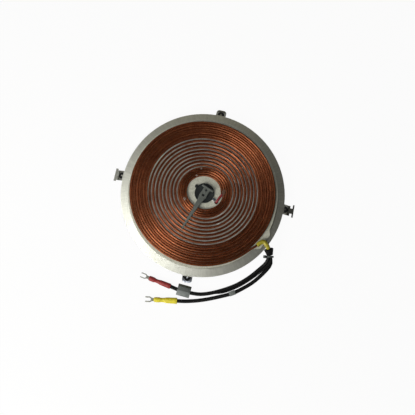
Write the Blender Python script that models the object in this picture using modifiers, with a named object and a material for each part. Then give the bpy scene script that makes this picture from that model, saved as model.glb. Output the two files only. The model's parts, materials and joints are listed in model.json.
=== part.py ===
"""Flat spiral heating coil of an induction hob, on its carrier plate, with its leads.

Metres, +Z up. The origin is under the middle of the round plate, on the surface
that the four bent legs stand on. The leads leave towards +X, -Y and lie on that surface.
"""

import math

import bmesh
import bpy
from mathutils import Matrix, Vector

# Clearances and cutting allowances
fit_gap = 0.0003
cut_overrun = 0.001
weld_distance = 0.00001
slice_tolerance = 0.0000001

# Steps of the round shapes and of the routes
round_steps = 24
small_round_steps = 20
bore_steps = 16
corner_steps = 5
route_steps = 24
fine_tube_steps = 2
coarse_tube_steps = 1
shading_angle = math.radians(40)

# Carrier plate and its bent legs
plate_diameter = 0.240
plate_thickness = 0.0015
plate_height = 0.009
plate_sides = 96
leg_degrees = {"right": -10, "top": 77.3, "left": 166.3, "bottom": 259.4}
leg_width = 0.0145
leg_bend_offset = 0.0008
leg_slope = math.radians(52)
leg_foot = 0.0028
leg_corner_radius = 0.0042
neck_width = 0.0078
neck_lengths = {"right": 0.0034, "left": 0.0}
lip_lengths = {"right": 0.0022, "left": 0.0034}
lip_width = 0.0185
bush_width = 0.009
bush_length = 0.0057
bush_wall = 0.0030
bush_start = 0.0009
bush_proud = 0.0008

# Ferrite bars under the mica
ferrite_count = 8
ferrite_first_angle = math.radians(22.5)
ferrite_inner_radius = 0.034
ferrite_setback = 0.014
ferrite_width = 0.013
ferrite_height = 0.004
ferrite_bevel = 0.0005

# Mica sheet, set back from the plate's rim, with its tongue at the point where the leads leave
mica_setback = 0.008
mica_thickness = 0.0008
mica_sides = 72
tongue_points = (
    (0.01630, 0.05080),
    (0.00810, 0.03320),
    (0.00370, 0.02370),
    (0.00440, 0.01710),
    (0.00390, 0.01490),
    (0.00020, 0.01090),
    (-0.00590, 0.00150),
    (-0.00930, -0.00320),
    (-0.01370, -0.00390),
    (-0.01820, -0.00600),
)

# Winding, set back from the mica's rim, and the cord that spaces its middle turns
coil_setback = 0.00428
coil_centre = Vector((0.0009, 0.0024, 0))
inner_coil_shift = Vector((0.0020, 0.0014, 0))
litz_diameter = 0.0027
litz_holder_distance = 0.0111
litz_close_pitch = 0.0032
litz_usual_open_pitch = 0.0055
litz_inner_turns = 4.0
litz_open_turn_part = 0.9
litz_outer_turns = 8.1
litz_end_angle = math.radians(-50.5)
litz_outer_end = (-0.01466, 0.00132)
litz_inner_end_turn = math.radians(8)
points_per_turn = 24
spacer_diameter = 0.0018
spacer_delay_turns = 0.75
spacer_overlap_turns = 0.1

# Sensor holder, its leaf and the bead inside it
holder_centre = Vector((0.0024, 0.0021, 0))
holder_diameter = 0.0288
holder_flange = 0.0015
holder_dish_depth = 0.0006
holder_rim = 0.0012
holder_stem_diameter = 0.024
holder_lip_diameter = 0.0262
holder_lip_height = 0.0016
holder_steps = 40
lug_degrees = 138
lug_reach_past_rim = 0.0007
lug_diameter = 0.0052
seat_width = 0.0092
seat_length = 0.0125
bead_diameter = 0.005
bead_length = 0.008
leaf_centre = Vector((0.0071, 0.0089, 0))
leaf_direction = math.radians(237.5)
leaf_thickness = 0.001
leaf_coil_clearance = 0.0008
leaf_bar_length = 0.0187
leaf_bar_width = 0.003
leaf_length = 0.0695
leaf_edge_shares = ((0.10, 0.55), (0.19, 0.60), (0.25, 0.48), (0.33, 0.40), (0.58, 0.27), (1.0, 0.07))
leaf_hole = 0.0026
leaf_hole_places = (0.0036, 0.0117)
peg_width = 0.0016

# Inner end of the winding, the sensor wires and their way under the mica. Places near the middle
# are degrees round the sensor holder and distances from its rim.
red_sleeve_diameter = 0.0031
red_sleeve_route = ((-14.0, 0.00900), (-29.0, 0.00749))
red_sleeve_dip = (-34.6, 0.00728)
red_sleeve_dip_depth = 0.0012
mica_eye = (-36.5, 0.00726)
mica_eye_radius = 0.0032
inner_run_start = ((-49.2, 0.01332), (-49.7, 0.02753))
inner_run_exit = ((-0.01260, 0.00760), (-0.00860, 0.00360))
sensor_run_start = ((-33.0, 0.01080), (-41.7, 0.01719), (-41.1, 0.03018))
sensor_run_exit = ((-0.00720, 0.01380), (-0.00320, 0.00980))
run_spacing = 0.0065
wire_diameter = 0.0018
wire_route_blue = ((-31.5, 0.00040), (-31.6, 0.00240), (-31.8, 0.00450))
wire_route_white = ((-40.5, 0.00040), (-41.2, 0.00280), (-41.7, 0.00520))
glue_diameter = 0.0044
glue_height = 0.0012
glue_places = (((-0.0262, -0.0062), 1.0), ((-0.0088, 0.0280), 0.7), ((-0.0018, 0.0382), 0.6))

# Yellow sleeve on the outer end, boot and tie, from the point on the plate's rim where the leads leave
exit_angle = math.radians(-39)
yellow_sleeve_diameter = 0.0052
yellow_sleeve_route = (
    (-0.01150, 0.00420, 0.0191),
    (-0.00780, 0.00620, 0.0191),
    (-0.00460, 0.00640, 0.0190),
    (-0.00190, 0.00400, 0.0188),
    (0.00030, 0.00080, 0.0178),
    (0.00190, -0.00250, 0.0152),
)
boot_start = (0.00270, -0.00390, 0.0130)
boot_end = (0.00440, -0.01190, 0.0090)
boot_wide = 0.0130
boot_narrow = 0.0070
boot_flatness_share = 0.74
tie_centre = (0.00400, -0.01468, 0.0080)
tie_half_width = 0.0052
tie_half_height = 0.0062
tie_wall = 0.0008
tie_width = 0.0026
tie_head_size = (0.0040, 0.0046, 0.0042)
tie_head_distance = 0.0087
tie_head_tilt = math.radians(35)
tie_sides = 28

# Leads and what is on them
lead_diameter = 0.0050
lead_step_share = 2.2
lead_a_route = (
    (0.00255, -0.01430, 0.0104),
    (0.00250, -0.01659, 0.0100),
    (-0.00060, -0.02330, 0.0066),
    (-0.00660, -0.02900, 0.0036),
    (-0.01400, -0.03530, 0.0026),
    (-0.02230, -0.04230, 0.0026),
    (-0.03390, -0.05000, 0.0026),
    (-0.04560, -0.05620, 0.0026),
    (-0.05846, -0.06110, 0.0026),
    (-0.07256, -0.06529, 0.0026),
    (-0.08646, -0.06809, 0.0026),
    (-0.10056, -0.06880, 0.0026),
    (-0.12026, -0.06500, 0.0026),
    (-0.13216, -0.06120, 0.0028),
    (-0.13650, -0.05930, 0.0038),
    (-0.14020, -0.05770, 0.0041),
)
lead_b_route = (
    (0.00540, -0.01382, 0.0056),
    (0.00570, -0.01785, 0.0054),
    (0.00550, -0.02580, 0.0036),
    (0.00020, -0.03450, 0.0026),
    (-0.00770, -0.04200, 0.0026),
    (-0.01870, -0.05020, 0.0026),
    (-0.02990, -0.05700, 0.0028),
    (-0.04390, -0.06480, 0.0037),
    (-0.05030, -0.06760, 0.0037),
    (-0.05720, -0.06980, 0.0035),
    (-0.07270, -0.07340, 0.0026),
    (-0.08650, -0.07620, 0.0026),
    (-0.10060, -0.07820, 0.0026),
    (-0.11470, -0.07910, 0.0032),
    (-0.12430, -0.07900, 0.0044),
    (-0.13050, -0.07860, 0.0047),
)
sensor_diameter = 0.0024
sensor_route = (
    (0.00670, -0.01369, 0.0106),
    (0.00620, -0.01803, 0.0102),
    (0.00320, -0.02430, 0.0086),
    (-0.00240, -0.03100, 0.0066),
    (-0.01060, -0.03860, 0.0048),
    (-0.02030, -0.04585, 0.0021),
    (-0.03140, -0.05285, 0.0014),
    (-0.04440, -0.05980, 0.0014),
    (-0.05740, -0.06490, 0.0016),
    (-0.06626, -0.06700, 0.0043),
    (-0.07476, -0.06740, 0.0066),
    (-0.08426, -0.06800, 0.0071),
    (-0.09526, -0.06860, 0.0072),
    (-0.10220, -0.06840, 0.0083),
    (-0.10710, -0.06760, 0.0093),
    (-0.11090, -0.06650, 0.0097),
)
clip_place = (-0.05025, -0.06748, 0.0037)
clip_turn = math.radians(20.5)
clip_length = 0.0094
clip_size = 0.0068
clip_corner = 0.0012
connector_centre = (-0.12076, -0.06398)
connector_turn = math.radians(-15.6)
connector_size = (0.0193, 0.0170, 0.0082)
connector_base = 0.0056
connector_mouth = (0.0138, 0.0082, 0.0050)
connector_floor = 0.0014
connector_mouth_cutback = 0.003
connector_slot = (0.0050, 0.0022, 0.0011)
connector_bevel = 0.0004
contact_size = (0.0011, 0.0020, 0.0011)
contact_spacing = 0.005

# Insulated fork terminals
red_end = (-0.17120, -0.04540)
yellow_end = (-0.16380, -0.07670)
red_body_radius = 0.0039
yellow_body_radius = 0.0045
red_bulb_share = 0.95
yellow_bulb_share = 0.84
bulb_start = 0.75
sleeve_shares = (
    (0.0, 0.70), (0.03, 1.0), (0.48, 0.93), (0.56, 0.74), (0.72, 0.74), (0.78, 1.0), (0.93, 1.0), (1.0, 0.65),
)
sleeve_steps = 20
fork_length = 0.013
red_fork_width = 0.0077
yellow_fork_width = 0.0084
fork_gap = 0.0053
fork_slot_depth = 0.0086
fork_neck_width = 0.0042
fork_thickness = 0.0008

# Radii worked out from the holder outwards and from the plate's rim inwards, with as many open turns
# between them as fit at about their usual pitch
holder_radius = holder_diameter / 2
litz_first_radius = holder_radius + litz_holder_distance
plate_radius = plate_diameter / 2
mica_radius = plate_radius - mica_setback
ferrite_length = mica_radius - ferrite_setback - ferrite_inner_radius
coil_radius = mica_radius - coil_setback
close_turns = litz_inner_turns + litz_outer_turns + litz_end_angle / (2 * math.pi)
open_space = coil_radius - litz_first_radius - litz_close_pitch * close_turns
litz_open_turns = round(open_space / litz_usual_open_pitch - litz_open_turn_part) + litz_open_turn_part
litz_open_pitch = open_space / litz_open_turns
litz_total_turns = litz_inner_turns + litz_open_turns + litz_outer_turns
spacer_first_turn = litz_inner_turns + spacer_delay_turns
spacer_last_turn = litz_inner_turns + litz_open_turns + spacer_overlap_turns

# Heights worked out from the stack
plate_top = plate_height + plate_thickness
ferrite_base = plate_top + fit_gap
mica_base = ferrite_base + ferrite_height + fit_gap
mica_top = mica_base + mica_thickness
litz_radius = litz_diameter / 2
litz_axis = mica_top + fit_gap + litz_radius
coil_top = litz_axis + litz_radius
leaf_base = coil_top + leaf_coil_clearance
seat_top = leaf_base - fit_gap
run_axis = (plate_top + mica_base) / 2
sleeve_axis = mica_top + fit_gap + yellow_sleeve_diameter / 2
exit_point = Vector((plate_radius * math.cos(exit_angle), plate_radius * math.sin(exit_angle), 0))
lead_radius = lead_diameter / 2

part_collection = bpy.data.collections.new("spiral_heating_coil")
cutter_collection = bpy.data.collections.new("cutters")


def clear_scene():
    for old in list(bpy.data.objects):
        bpy.data.objects.remove(old, do_unlink=True)
    for collection in (part_collection, cutter_collection):
        bpy.context.scene.collection.children.link(collection)


def make_material(name, colour, roughness, metallic):
    finish = bpy.data.materials.new(name)
    finish.use_nodes = True
    shader = finish.node_tree.nodes["Principled BSDF"]
    shader.inputs["Base Color"].default_value = (*colour, 1)
    shader.inputs["Roughness"].default_value = roughness
    shader.inputs["Metallic"].default_value = metallic
    finish.diffuse_color = (*colour, 1)
    return finish


def add_part(name, data, finish, matrix=None):
    part = bpy.data.objects.new(name, data)
    part_collection.objects.link(part)
    part.data.materials.append(finish)
    if matrix is not None:
        part.matrix_world = matrix
    return part


def add_cutter(name, data, matrix=None):
    cutter = bpy.data.objects.new(name, data)
    cutter_collection.objects.link(cutter)
    cutter.hide_render = True
    cutter.display_type = "WIRE"
    if matrix is not None:
        cutter.matrix_world = matrix
    return cutter


def combine(target, other, operation):
    step = target.modifiers.new(operation.lower(), "BOOLEAN")
    step.operation = operation
    step.object = other
    step.solver = "EXACT"
    return step


def shade(mesh):
    mesh.shade_smooth()
    mesh.set_sharp_from_angle(angle=shading_angle)


def placed(place, turn=0.0, tilt=0.0, roll=0.0):
    """A matrix that rolls about X, tilts about Y and turns about Z, then moves."""
    spin = Matrix.Rotation(turn, 4, "Z") @ Matrix.Rotation(tilt, 4, "Y") @ Matrix.Rotation(roll, 4, "X")
    return Matrix.Translation(Vector(place)) @ spin


def mesh_from_bmesh(name, builder):
    mesh = bpy.data.meshes.new(name)
    builder.to_mesh(mesh)
    builder.free()
    return mesh


def block_mesh(name, size):
    builder = bmesh.new()
    bmesh.ops.create_cube(builder, size=1)
    bmesh.ops.scale(builder, vec=size, verts=builder.verts)
    return mesh_from_bmesh(name, builder)


def cone_mesh(name, near_radius, far_radius, height, sides):
    builder = bmesh.new()
    bmesh.ops.create_cone(
        builder, cap_ends=True, segments=sides, radius1=near_radius, radius2=far_radius, depth=height
    )
    mesh = mesh_from_bmesh(name, builder)
    shade(mesh)
    return mesh


def poly_spline(curve, points, closed):
    spline = curve.splines.new("POLY")
    spline.points.add(len(points) - 1)
    for point, place in zip(spline.points, points):
        point.co = (*Vector(place).to_3d(), 1)
    spline.use_cyclic_u = closed
    return spline


def flat_curve(name, outlines, thickness):
    """A flat piece lying in XY, centred on Z, whose later outlines are holes."""
    curve = bpy.data.curves.new(name, "CURVE")
    curve.dimensions = "2D"
    curve.fill_mode = "BOTH"
    curve.extrude = thickness / 2
    for outline in outlines:
        poly_spline(curve, outline, True)
    return curve


def solid_from_curve(name, curve):
    """Turns a curve into a welded mesh that a Boolean can use."""
    guide = bpy.data.objects.new(name + "_guide", curve)
    cutter_collection.objects.link(guide)
    bpy.context.view_layer.update()
    evaluated = guide.evaluated_get(bpy.context.evaluated_depsgraph_get())
    mesh = bpy.data.meshes.new_from_object(evaluated)
    bpy.data.objects.remove(guide, do_unlink=True)
    builder = bmesh.new()
    builder.from_mesh(mesh)
    bmesh.ops.remove_doubles(builder, verts=builder.verts, dist=weld_distance)
    bmesh.ops.recalc_face_normals(builder, faces=builder.faces)
    builder.to_mesh(mesh)
    builder.free()
    mesh.name = name
    return mesh


def tube_curve(name, points, diameter, resolution):
    curve = bpy.data.curves.new(name, "CURVE")
    curve.dimensions = "3D"
    curve.bevel_depth = diameter / 2
    curve.bevel_resolution = resolution
    curve.use_fill_caps = True
    curve.twist_mode = "Z_UP"
    poly_spline(curve, points, False)
    return curve


def add_tube(name, points, diameter, resolution, finish):
    return add_part(name, tube_curve(name, points, diameter, resolution), finish)


def smooth_route(route, spacing):
    """Points at even steps along a smooth curve through the route's own points."""
    stops = [Vector(stop) for stop in route]
    stops = [2 * stops[0] - stops[1]] + stops + [2 * stops[-1] - stops[-2]]
    fine = []
    for index in range(1, len(stops) - 2):
        before, start, end, after = stops[index - 1:index + 3]
        for step in range(route_steps):
            along = step / route_steps
            fine.append(
                0.5 * (
                    2 * start + (end - before) * along
                    + (2 * before - 5 * start + 4 * end - after) * along ** 2
                    + (3 * start - before - 3 * end + after) * along ** 3
                )
            )
    fine.append(stops[-2])
    total = sum((b - a).length for a, b in zip(fine, fine[1:]))
    count = max(2, round(total / spacing))
    points = [fine[0]]
    walked = 0.0
    for a, b in zip(fine, fine[1:]):
        length = (b - a).length
        while len(points) < count and walked + length >= total * len(points) / count:
            share = (total * len(points) / count - walked) / length
            points.append(a.lerp(b, share))
        walked += length
    points.append(fine[-1])
    return points


def from_exit(place):
    return exit_point + Vector(place).to_3d()


def from_holder(degrees, distance, height=0):
    """A place at an angle round the sensor holder, at a distance from its rim."""
    angle = math.radians(degrees)
    reach = holder_radius + distance
    return holder_centre + Vector((reach * math.cos(angle), reach * math.sin(angle), height))


def route_length(points):
    return sum((b - a).length for a, b in zip(points, points[1:]))


def arc(centre, radius, start, end, steps):
    return [
        Vector(centre) + radius * Vector((math.cos(a), math.sin(a)))
        for a in (start + (end - start) * step / steps for step in range(steps + 1))
    ]


def circle(centre, radius, sides):
    return arc(centre, radius, 0, 2 * math.pi, sides)[:-1]


def oval(half_width, half_height, sides):
    return [Vector((point.x * half_width, point.y * half_height)) for point in circle((0, 0), 1, sides)]


def turned_object(name, profile, steps, finish, matrix=None):
    """A closed profile of (radius, height) pairs, turned about Z."""
    builder = bmesh.new()
    rim = [builder.verts.new((radius, 0, height)) for radius, height in profile]
    for a, b in zip(rim, rim[1:]):
        builder.edges.new((a, b))
    part = add_part(name, mesh_from_bmesh(name, builder), finish, matrix)
    screw = part.modifiers.new("turn", "SCREW")
    screw.steps = steps
    screw.render_steps = steps
    screw.use_merge_vertices = True
    screw.merge_threshold = weld_distance
    return part


def bevel(part, width, segments=1):
    edge = part.modifiers.new("edges", "BEVEL")
    edge.width = width
    edge.segments = segments
    edge.limit_method = "ANGLE"


def leg_run():
    """How far a leg reaches out while it slopes down."""
    return plate_height / math.tan(leg_slope)


def bend_shift():
    """How much nearer the plate the under side bends, so that the sheet keeps its thickness."""
    return plate_thickness * math.tan(leg_slope / 2)


def leg_reach():
    return leg_bend_offset + leg_run() + leg_foot - bend_shift()


def leg_point(angle, reach, across):
    """A point near a leg: distance from the plate's edge, and across the leg."""
    outward = Vector((math.cos(angle), math.sin(angle)))
    sideways = Vector((-outward.y, outward.x))
    return outward * (plate_radius + reach) + sideways * across


def rounded_tab():
    half = leg_width / 2
    centre = leg_reach() - leg_corner_radius
    quarter = math.pi / 2
    lower = arc((centre, leg_corner_radius - half), leg_corner_radius, -quarter, 0, corner_steps)
    upper = arc((centre, half - leg_corner_radius), leg_corner_radius, 0, quarter, corner_steps)
    return lower + upper


def lipped_tab(neck, lip):
    """The left and right legs end in a cross bar, the right one beyond a neck."""
    half = leg_width / 2
    reach = leg_reach()
    side = [(reach, half)]
    if neck:
        side += [(reach, neck_width / 2), (reach + neck, neck_width / 2)]
    side += [(reach + neck, lip_width / 2), (reach + neck + lip, lip_width / 2)]
    return [(x, -y) for x, y in side] + list(reversed(side))


def tab_outline(name):
    half = leg_width / 2
    root = math.sqrt(plate_radius ** 2 - half ** 2) - plate_radius
    tab = lipped_tab(neck_lengths[name], lip_lengths[name]) if name in neck_lengths else rounded_tab()
    return [(root, -half)] + tab + [(root, half)]


def bush_outline(margin):
    """A U that opens towards the plate, grown by a margin all round."""
    outer = bush_width / 2 + margin
    inner = bush_width / 2 - bush_wall - margin
    bend = bush_start + bush_length - bush_width / 2
    start = bush_start - margin
    quarter = math.pi / 2
    return (
        [Vector((start, -outer))]
        + arc((bend, 0), outer, -quarter, quarter, 2 * corner_steps)
        + [Vector((start, outer)), Vector((start, inner))]
        + arc((bend, 0), inner, quarter, -quarter, corner_steps)
        + [Vector((start, -inner))]
    )


def leg_angles():
    return [(name, math.radians(degrees)) for name, degrees in leg_degrees.items()]


def bend_leg(mesh, angle, tongue_width):
    """Bends what lies past the plate's edge down to the floor, apart from the tongue in its slot."""
    outward = Vector((math.cos(angle), math.sin(angle), 0))
    sideways = Vector((-outward.y, outward.x, 0))
    slope_start = plate_radius + leg_bend_offset
    slope_end = slope_start + leg_run()
    builder = bmesh.new()
    builder.from_mesh(mesh)
    for distance in (slope_start, slope_start - bend_shift(), slope_end, slope_end - bend_shift()):
        geometry = builder.verts[:] + builder.edges[:] + builder.faces[:]
        bmesh.ops.bisect_plane(
            builder, geom=geometry, dist=slice_tolerance, plane_co=outward * distance, plane_no=outward
        )
    tongue_end = plate_radius + bush_start + bush_length - bush_wall
    for vert in builder.verts:
        distance = vert.co.dot(outward)
        across = abs(vert.co.dot(sideways))
        in_tongue = across < tongue_width / 2 and distance < tongue_end
        if distance < plate_radius or in_tongue:
            continue
        first = slope_start - (bend_shift() if vert.co.z < 0 else 0)
        vert.co.z -= min(max(distance - first, 0), leg_run()) * math.tan(leg_slope)
    bmesh.ops.triangulate(builder, faces=builder.faces)
    builder.to_mesh(mesh)
    builder.free()


def make_carrier_plate(aluminium, rubber):
    """The plate and its legs are one sheet, cut to one outline and bent."""
    outline = []
    half_turn = math.asin(leg_width / 2 / plate_radius)
    slots = []
    legs = leg_angles()
    nexts = [angle for name, angle in legs[1:]] + [legs[0][1] + 2 * math.pi]
    for (name, angle), next_angle in zip(legs, nexts):
        outline += [leg_point(angle, x, y) for x, y in tab_outline(name)]
        slots.append([leg_point(angle, x, y) for x, y in bush_outline(fit_gap)])
        rim = arc((0, 0), plate_radius, angle + half_turn, next_angle - half_turn, plate_sides // len(legs))
        outline += rim[1:-1]
    hole = circle(holder_centre.to_2d(), holder_stem_diameter / 2 + fit_gap, holder_steps)
    curve = flat_curve("carrier_plate", [outline, hole] + slots, plate_thickness)
    mesh = solid_from_curve("carrier_plate", curve)
    for name, angle in leg_angles():
        bend_leg(mesh, angle, bush_width - 2 * bush_wall - fit_gap)
    middle = placed((0, 0, plate_height + plate_thickness / 2))
    add_part("carrier_plate", mesh, aluminium, middle)
    bush_height = plate_thickness + bush_proud
    for name, angle in leg_angles():
        bush_points = [leg_point(angle, x, y) for x, y in bush_outline(0)]
        bush = solid_from_curve(f"leg_bush_{name}", flat_curve("bush", [bush_points], bush_height))
        bend_leg(bush, angle, 0)
        add_part(f"leg_bush_{name}", bush, rubber, placed((0, 0, plate_height + bush_height / 2)))


def make_ferrite_bars(ferrite):
    middle = ferrite_inner_radius + ferrite_length / 2
    mesh = block_mesh("ferrite_bar", (ferrite_length, ferrite_width, ferrite_height))
    for index in range(ferrite_count):
        angle = ferrite_first_angle + index * 2 * math.pi / ferrite_count
        place = (middle * math.cos(angle), middle * math.sin(angle), ferrite_base + ferrite_height / 2)
        bar = add_part(f"ferrite_bar_{index + 1}", mesh.copy(), ferrite, placed(place, turn=angle))
        bevel(bar, ferrite_bevel)


def make_mica_sheet(mica):
    centre = coil_centre.to_2d()
    tongue = [from_exit(point).to_2d() for point in tongue_points]
    first = tongue[0] - centre
    last = tongue[-1] - centre
    start = math.atan2(first.y, first.x)
    end = math.atan2(last.y, last.x) + 2 * math.pi
    rim = arc(centre, mica_radius, start, end, mica_sides)
    outline = rim + list(reversed(tongue[1:-1]))
    holder_hole = circle(holder_centre.to_2d(), holder_stem_diameter / 2 + fit_gap, holder_steps)
    eye = circle(from_holder(*mica_eye).to_2d(), mica_eye_radius, bore_steps)
    curve = flat_curve("mica_sheet", [outline, holder_hole, eye], mica_thickness)
    add_part("mica_sheet", curve, mica, placed((0, 0, mica_base + mica_thickness / 2)))


def spiral_radius(angle):
    """Radius of the winding's centre line at an angle from its inner end."""
    turns = angle / (2 * math.pi)
    close_inner = min(turns, litz_inner_turns)
    opened = min(max(turns - litz_inner_turns, 0), litz_open_turns)
    close_outer = max(turns - litz_inner_turns - litz_open_turns, 0)
    return litz_first_radius + litz_close_pitch * (close_inner + close_outer) + litz_open_pitch * opened


def on_coil(angle, radius, height):
    """A place on the spiral. The close inner turns sit to one side, and the open turns lead back."""
    opened = (angle / (2 * math.pi) - litz_inner_turns) / litz_open_turns
    shift = inner_coil_shift * (1 - min(max(opened, 0), 1))
    return coil_centre + shift + Vector((radius * math.cos(angle), radius * math.sin(angle), height))


def inner_end_way():
    """The inner end leaves the spiral a little inwards of its tangent."""
    return Vector((-math.sin(litz_inner_end_turn), -math.cos(litz_inner_end_turn), 0))


def litz_angles():
    total = litz_total_turns * 2 * math.pi + litz_end_angle
    count = round(total / (2 * math.pi) * points_per_turn)
    return [total * i / count for i in range(count + 1)]


def litz_points():
    points = [on_coil(angle, spiral_radius(angle), litz_axis) for angle in litz_angles()]
    outer_end = from_exit((*litz_outer_end, sleeve_axis))
    head = inner_end_way() * litz_diameter
    return [points[0] + head] + points + [outer_end]


def least_gap(points, diameter, apart):
    """Least clear distance between stretches that lie at least `apart` points from each other."""
    least = math.inf
    for i, point in enumerate(points):
        for j in range(i + apart, len(points) - 1):
            start, end = points[j], points[j + 1]
            way = end - start
            share = min(max((point - start).dot(way) / way.length_squared, 0), 1)
            least = min(least, (start + way * share - point).length)
    return least - diameter


def make_winding(copper, cord):
    points = litz_points()
    add_tube("litz_winding", points, litz_diameter, coarse_tube_steps, copper)
    gap = least_gap(points, litz_diameter, points_per_turn // 2)
    print(f"litz winding: least gap to itself {gap * 1000:.2f} mm")
    height = mica_top + fit_gap + spacer_diameter / 2
    spacer = []
    for angle in litz_angles():
        if not spacer_first_turn <= angle / (2 * math.pi) <= spacer_last_turn:
            continue
        outer = on_coil(angle, spiral_radius(angle), height)
        inner = on_coil(angle - 2 * math.pi, spiral_radius(angle - 2 * math.pi), height)
        spacer.append((outer + inner) / 2)
    add_tube("spacer_cord", spacer, spacer_diameter, coarse_tube_steps, cord)
    gap = least_gap(spacer, spacer_diameter, points_per_turn // 2)
    print(f"spacer cord: least gap to itself {gap * 1000:.2f} mm")
    return points


def make_sensor(rubber, steel, glass):
    flange_top = mica_top + fit_gap + holder_flange
    stem = holder_stem_diameter / 2
    lip = holder_lip_diameter / 2
    lip_top = plate_height - fit_gap
    outer = holder_radius
    bore = bead_diameter / 2 + fit_gap
    bore_top = lip_top - holder_lip_height + bead_length + 2 * fit_gap
    profile = (
        (0, flange_top - holder_dish_depth),
        (outer - holder_rim, flange_top - holder_dish_depth),
        (outer - holder_rim, flange_top),
        (outer, flange_top),
        (outer, flange_top - holder_flange),
        (stem, flange_top - holder_flange),
        (stem, lip_top),
        (lip, lip_top),
        (stem, lip_top - holder_lip_height),
        (bore, lip_top - holder_lip_height),
        (bore, bore_top),
        (0, bore_top),
    )
    holder = turned_object("sensor_holder", profile, holder_steps, rubber, placed(holder_centre))
    lug = cone_mesh("holder_lug", lug_diameter / 2, lug_diameter / 2, holder_flange, small_round_steps)
    lug_place = from_holder(lug_degrees, lug_reach_past_rim, flange_top - holder_flange / 2)
    combine(holder, add_cutter("holder_lug", lug, placed(lug_place)), "UNION")
    along = Vector((math.cos(leaf_direction), math.sin(leaf_direction), 0))
    seat_base = flange_top - holder_dish_depth - cut_overrun / 2
    seat = block_mesh("holder_seat", (seat_length, seat_width, seat_top - seat_base))
    seat_middle = (seat_length - leaf_bar_width) / 2
    seat_place = leaf_centre + along * seat_middle + Vector((0, 0, (seat_top + seat_base) / 2))
    combine(holder, add_cutter("holder_seat", seat, placed(seat_place, turn=leaf_direction)), "UNION")
    peg_base = seat_top - cut_overrun
    peg_top = leaf_base + leaf_thickness
    peg = block_mesh("holder_peg", (peg_width, peg_width, peg_top - peg_base))
    peg_place = leaf_centre + along * leaf_hole_places[0] + Vector((0, 0, (peg_top + peg_base) / 2))
    combine(holder, add_cutter("holder_peg", peg, placed(peg_place, turn=leaf_direction)), "UNION")
    bead = cone_mesh("thermistor_bead", bead_diameter / 2, bead_diameter / 2, bead_length, small_round_steps)
    bead_place = holder_centre + Vector((0, 0, lip_top - holder_lip_height + bead_length / 2 + fit_gap))
    add_part("thermistor_bead", bead, glass, placed(bead_place))
    make_sensor_leaf(steel)


def leaf_outline():
    bar = leaf_bar_length / 2
    half = leaf_bar_width / 2
    side = [(half, bar), (half, leaf_edge_shares[0][1] * bar)]
    side += [(share * leaf_length, width * bar) for share, width in leaf_edge_shares]
    lower = [(x, -y) for x, y in side]
    return [(-half, -bar)] + lower + list(reversed(side)) + [(-half, bar)]


def make_sensor_leaf(steel):
    hinge = bpy.data.objects.new("sensor_leaf_hinge", None)
    part_collection.objects.link(hinge)
    hinge.empty_display_size = leaf_bar_width
    height = leaf_base + leaf_thickness / 2
    hinge.matrix_world = placed(leaf_centre + Vector((0, 0, height)), turn=leaf_direction)
    half = leaf_hole / 2
    holes = [
        [(place - half, -half), (place + half, -half), (place + half, half), (place - half, half)]
        for place in leaf_hole_places
    ]
    leaf = add_part("sensor_leaf", flat_curve("sensor_leaf", [leaf_outline()] + holes, leaf_thickness), steel)
    leaf.parent = hinge


def under_mica(start, exit_part):
    """A route's places, from the middle to the point where the leads leave, at the height of the runs."""
    places = [from_holder(*place) for place in start] + [from_exit(place) for place in exit_part]
    return [place + Vector((0, 0, run_axis)) for place in places]


def make_inner_end(points, red, copper, blue, white, black):
    """The winding's inner end dips in its red sleeve through the mica, and runs on below it."""
    face = points[0] + inner_end_way() * fit_gap
    route = [face, face + inner_end_way() * litz_radius]
    route += [from_holder(*stop, litz_axis) for stop in red_sleeve_route]
    route.append(from_holder(*red_sleeve_dip, litz_axis - red_sleeve_dip_depth))
    route.append(from_holder(*mica_eye, mica_base))
    sleeve = smooth_route(route, red_sleeve_diameter / 3)
    add_tube("inner_end_sleeve", sleeve, red_sleeve_diameter, fine_tube_steps, red)
    way = (sleeve[-1] - sleeve[-2]).normalized()
    eye = from_holder(*mica_eye)
    onward = (from_holder(*inner_run_start[0]) - eye).normalized()
    up = Vector((0, 0, 1))
    start = sleeve[-1] + way * 3 * fit_gap
    low = eye + up * run_axis + onward * (litz_diameter + litz_radius)
    tail = [start, start + way * litz_radius, low]
    run = [tail[-1]] + under_mica(inner_run_start, inner_run_exit)
    tail_points = smooth_route(tail, litz_radius / 2) + smooth_route(run, run_spacing)[1:]
    add_tube("inner_end_run", tail_points, litz_diameter, coarse_tube_steps, copper)
    wire_height = mica_top + fit_gap + wire_diameter / 2
    for name, stops, finish in (
        ("sensor_wire_blue", wire_route_blue, blue),
        ("sensor_wire_white", wire_route_white, white),
    ):
        wire = smooth_route([from_holder(*stop, wire_height) for stop in stops], wire_diameter / 2)
        add_tube(name, wire, wire_diameter, fine_tube_steps, finish)
    cable = smooth_route(under_mica(sensor_run_start, sensor_run_exit), run_spacing)
    add_tube("sensor_cable_run", cable, sensor_diameter, fine_tube_steps, black)


def make_glue_dots(glue):
    """Low drops of glue on the close turns."""
    for index, ((x, y), share) in enumerate(glue_places):
        builder = bmesh.new()
        bmesh.ops.create_uvsphere(builder, u_segments=12, v_segments=6, radius=glue_diameter / 2)
        bmesh.ops.scale(builder, vec=(share, share, glue_height / glue_diameter), verts=builder.verts)
        name = f"glue_dot_{index + 1}"
        mesh = mesh_from_bmesh(name, builder)
        shade(mesh)
        add_part(name, mesh, glue, placed((x, y, coil_top + fit_gap + glue_height / 2)))


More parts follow.
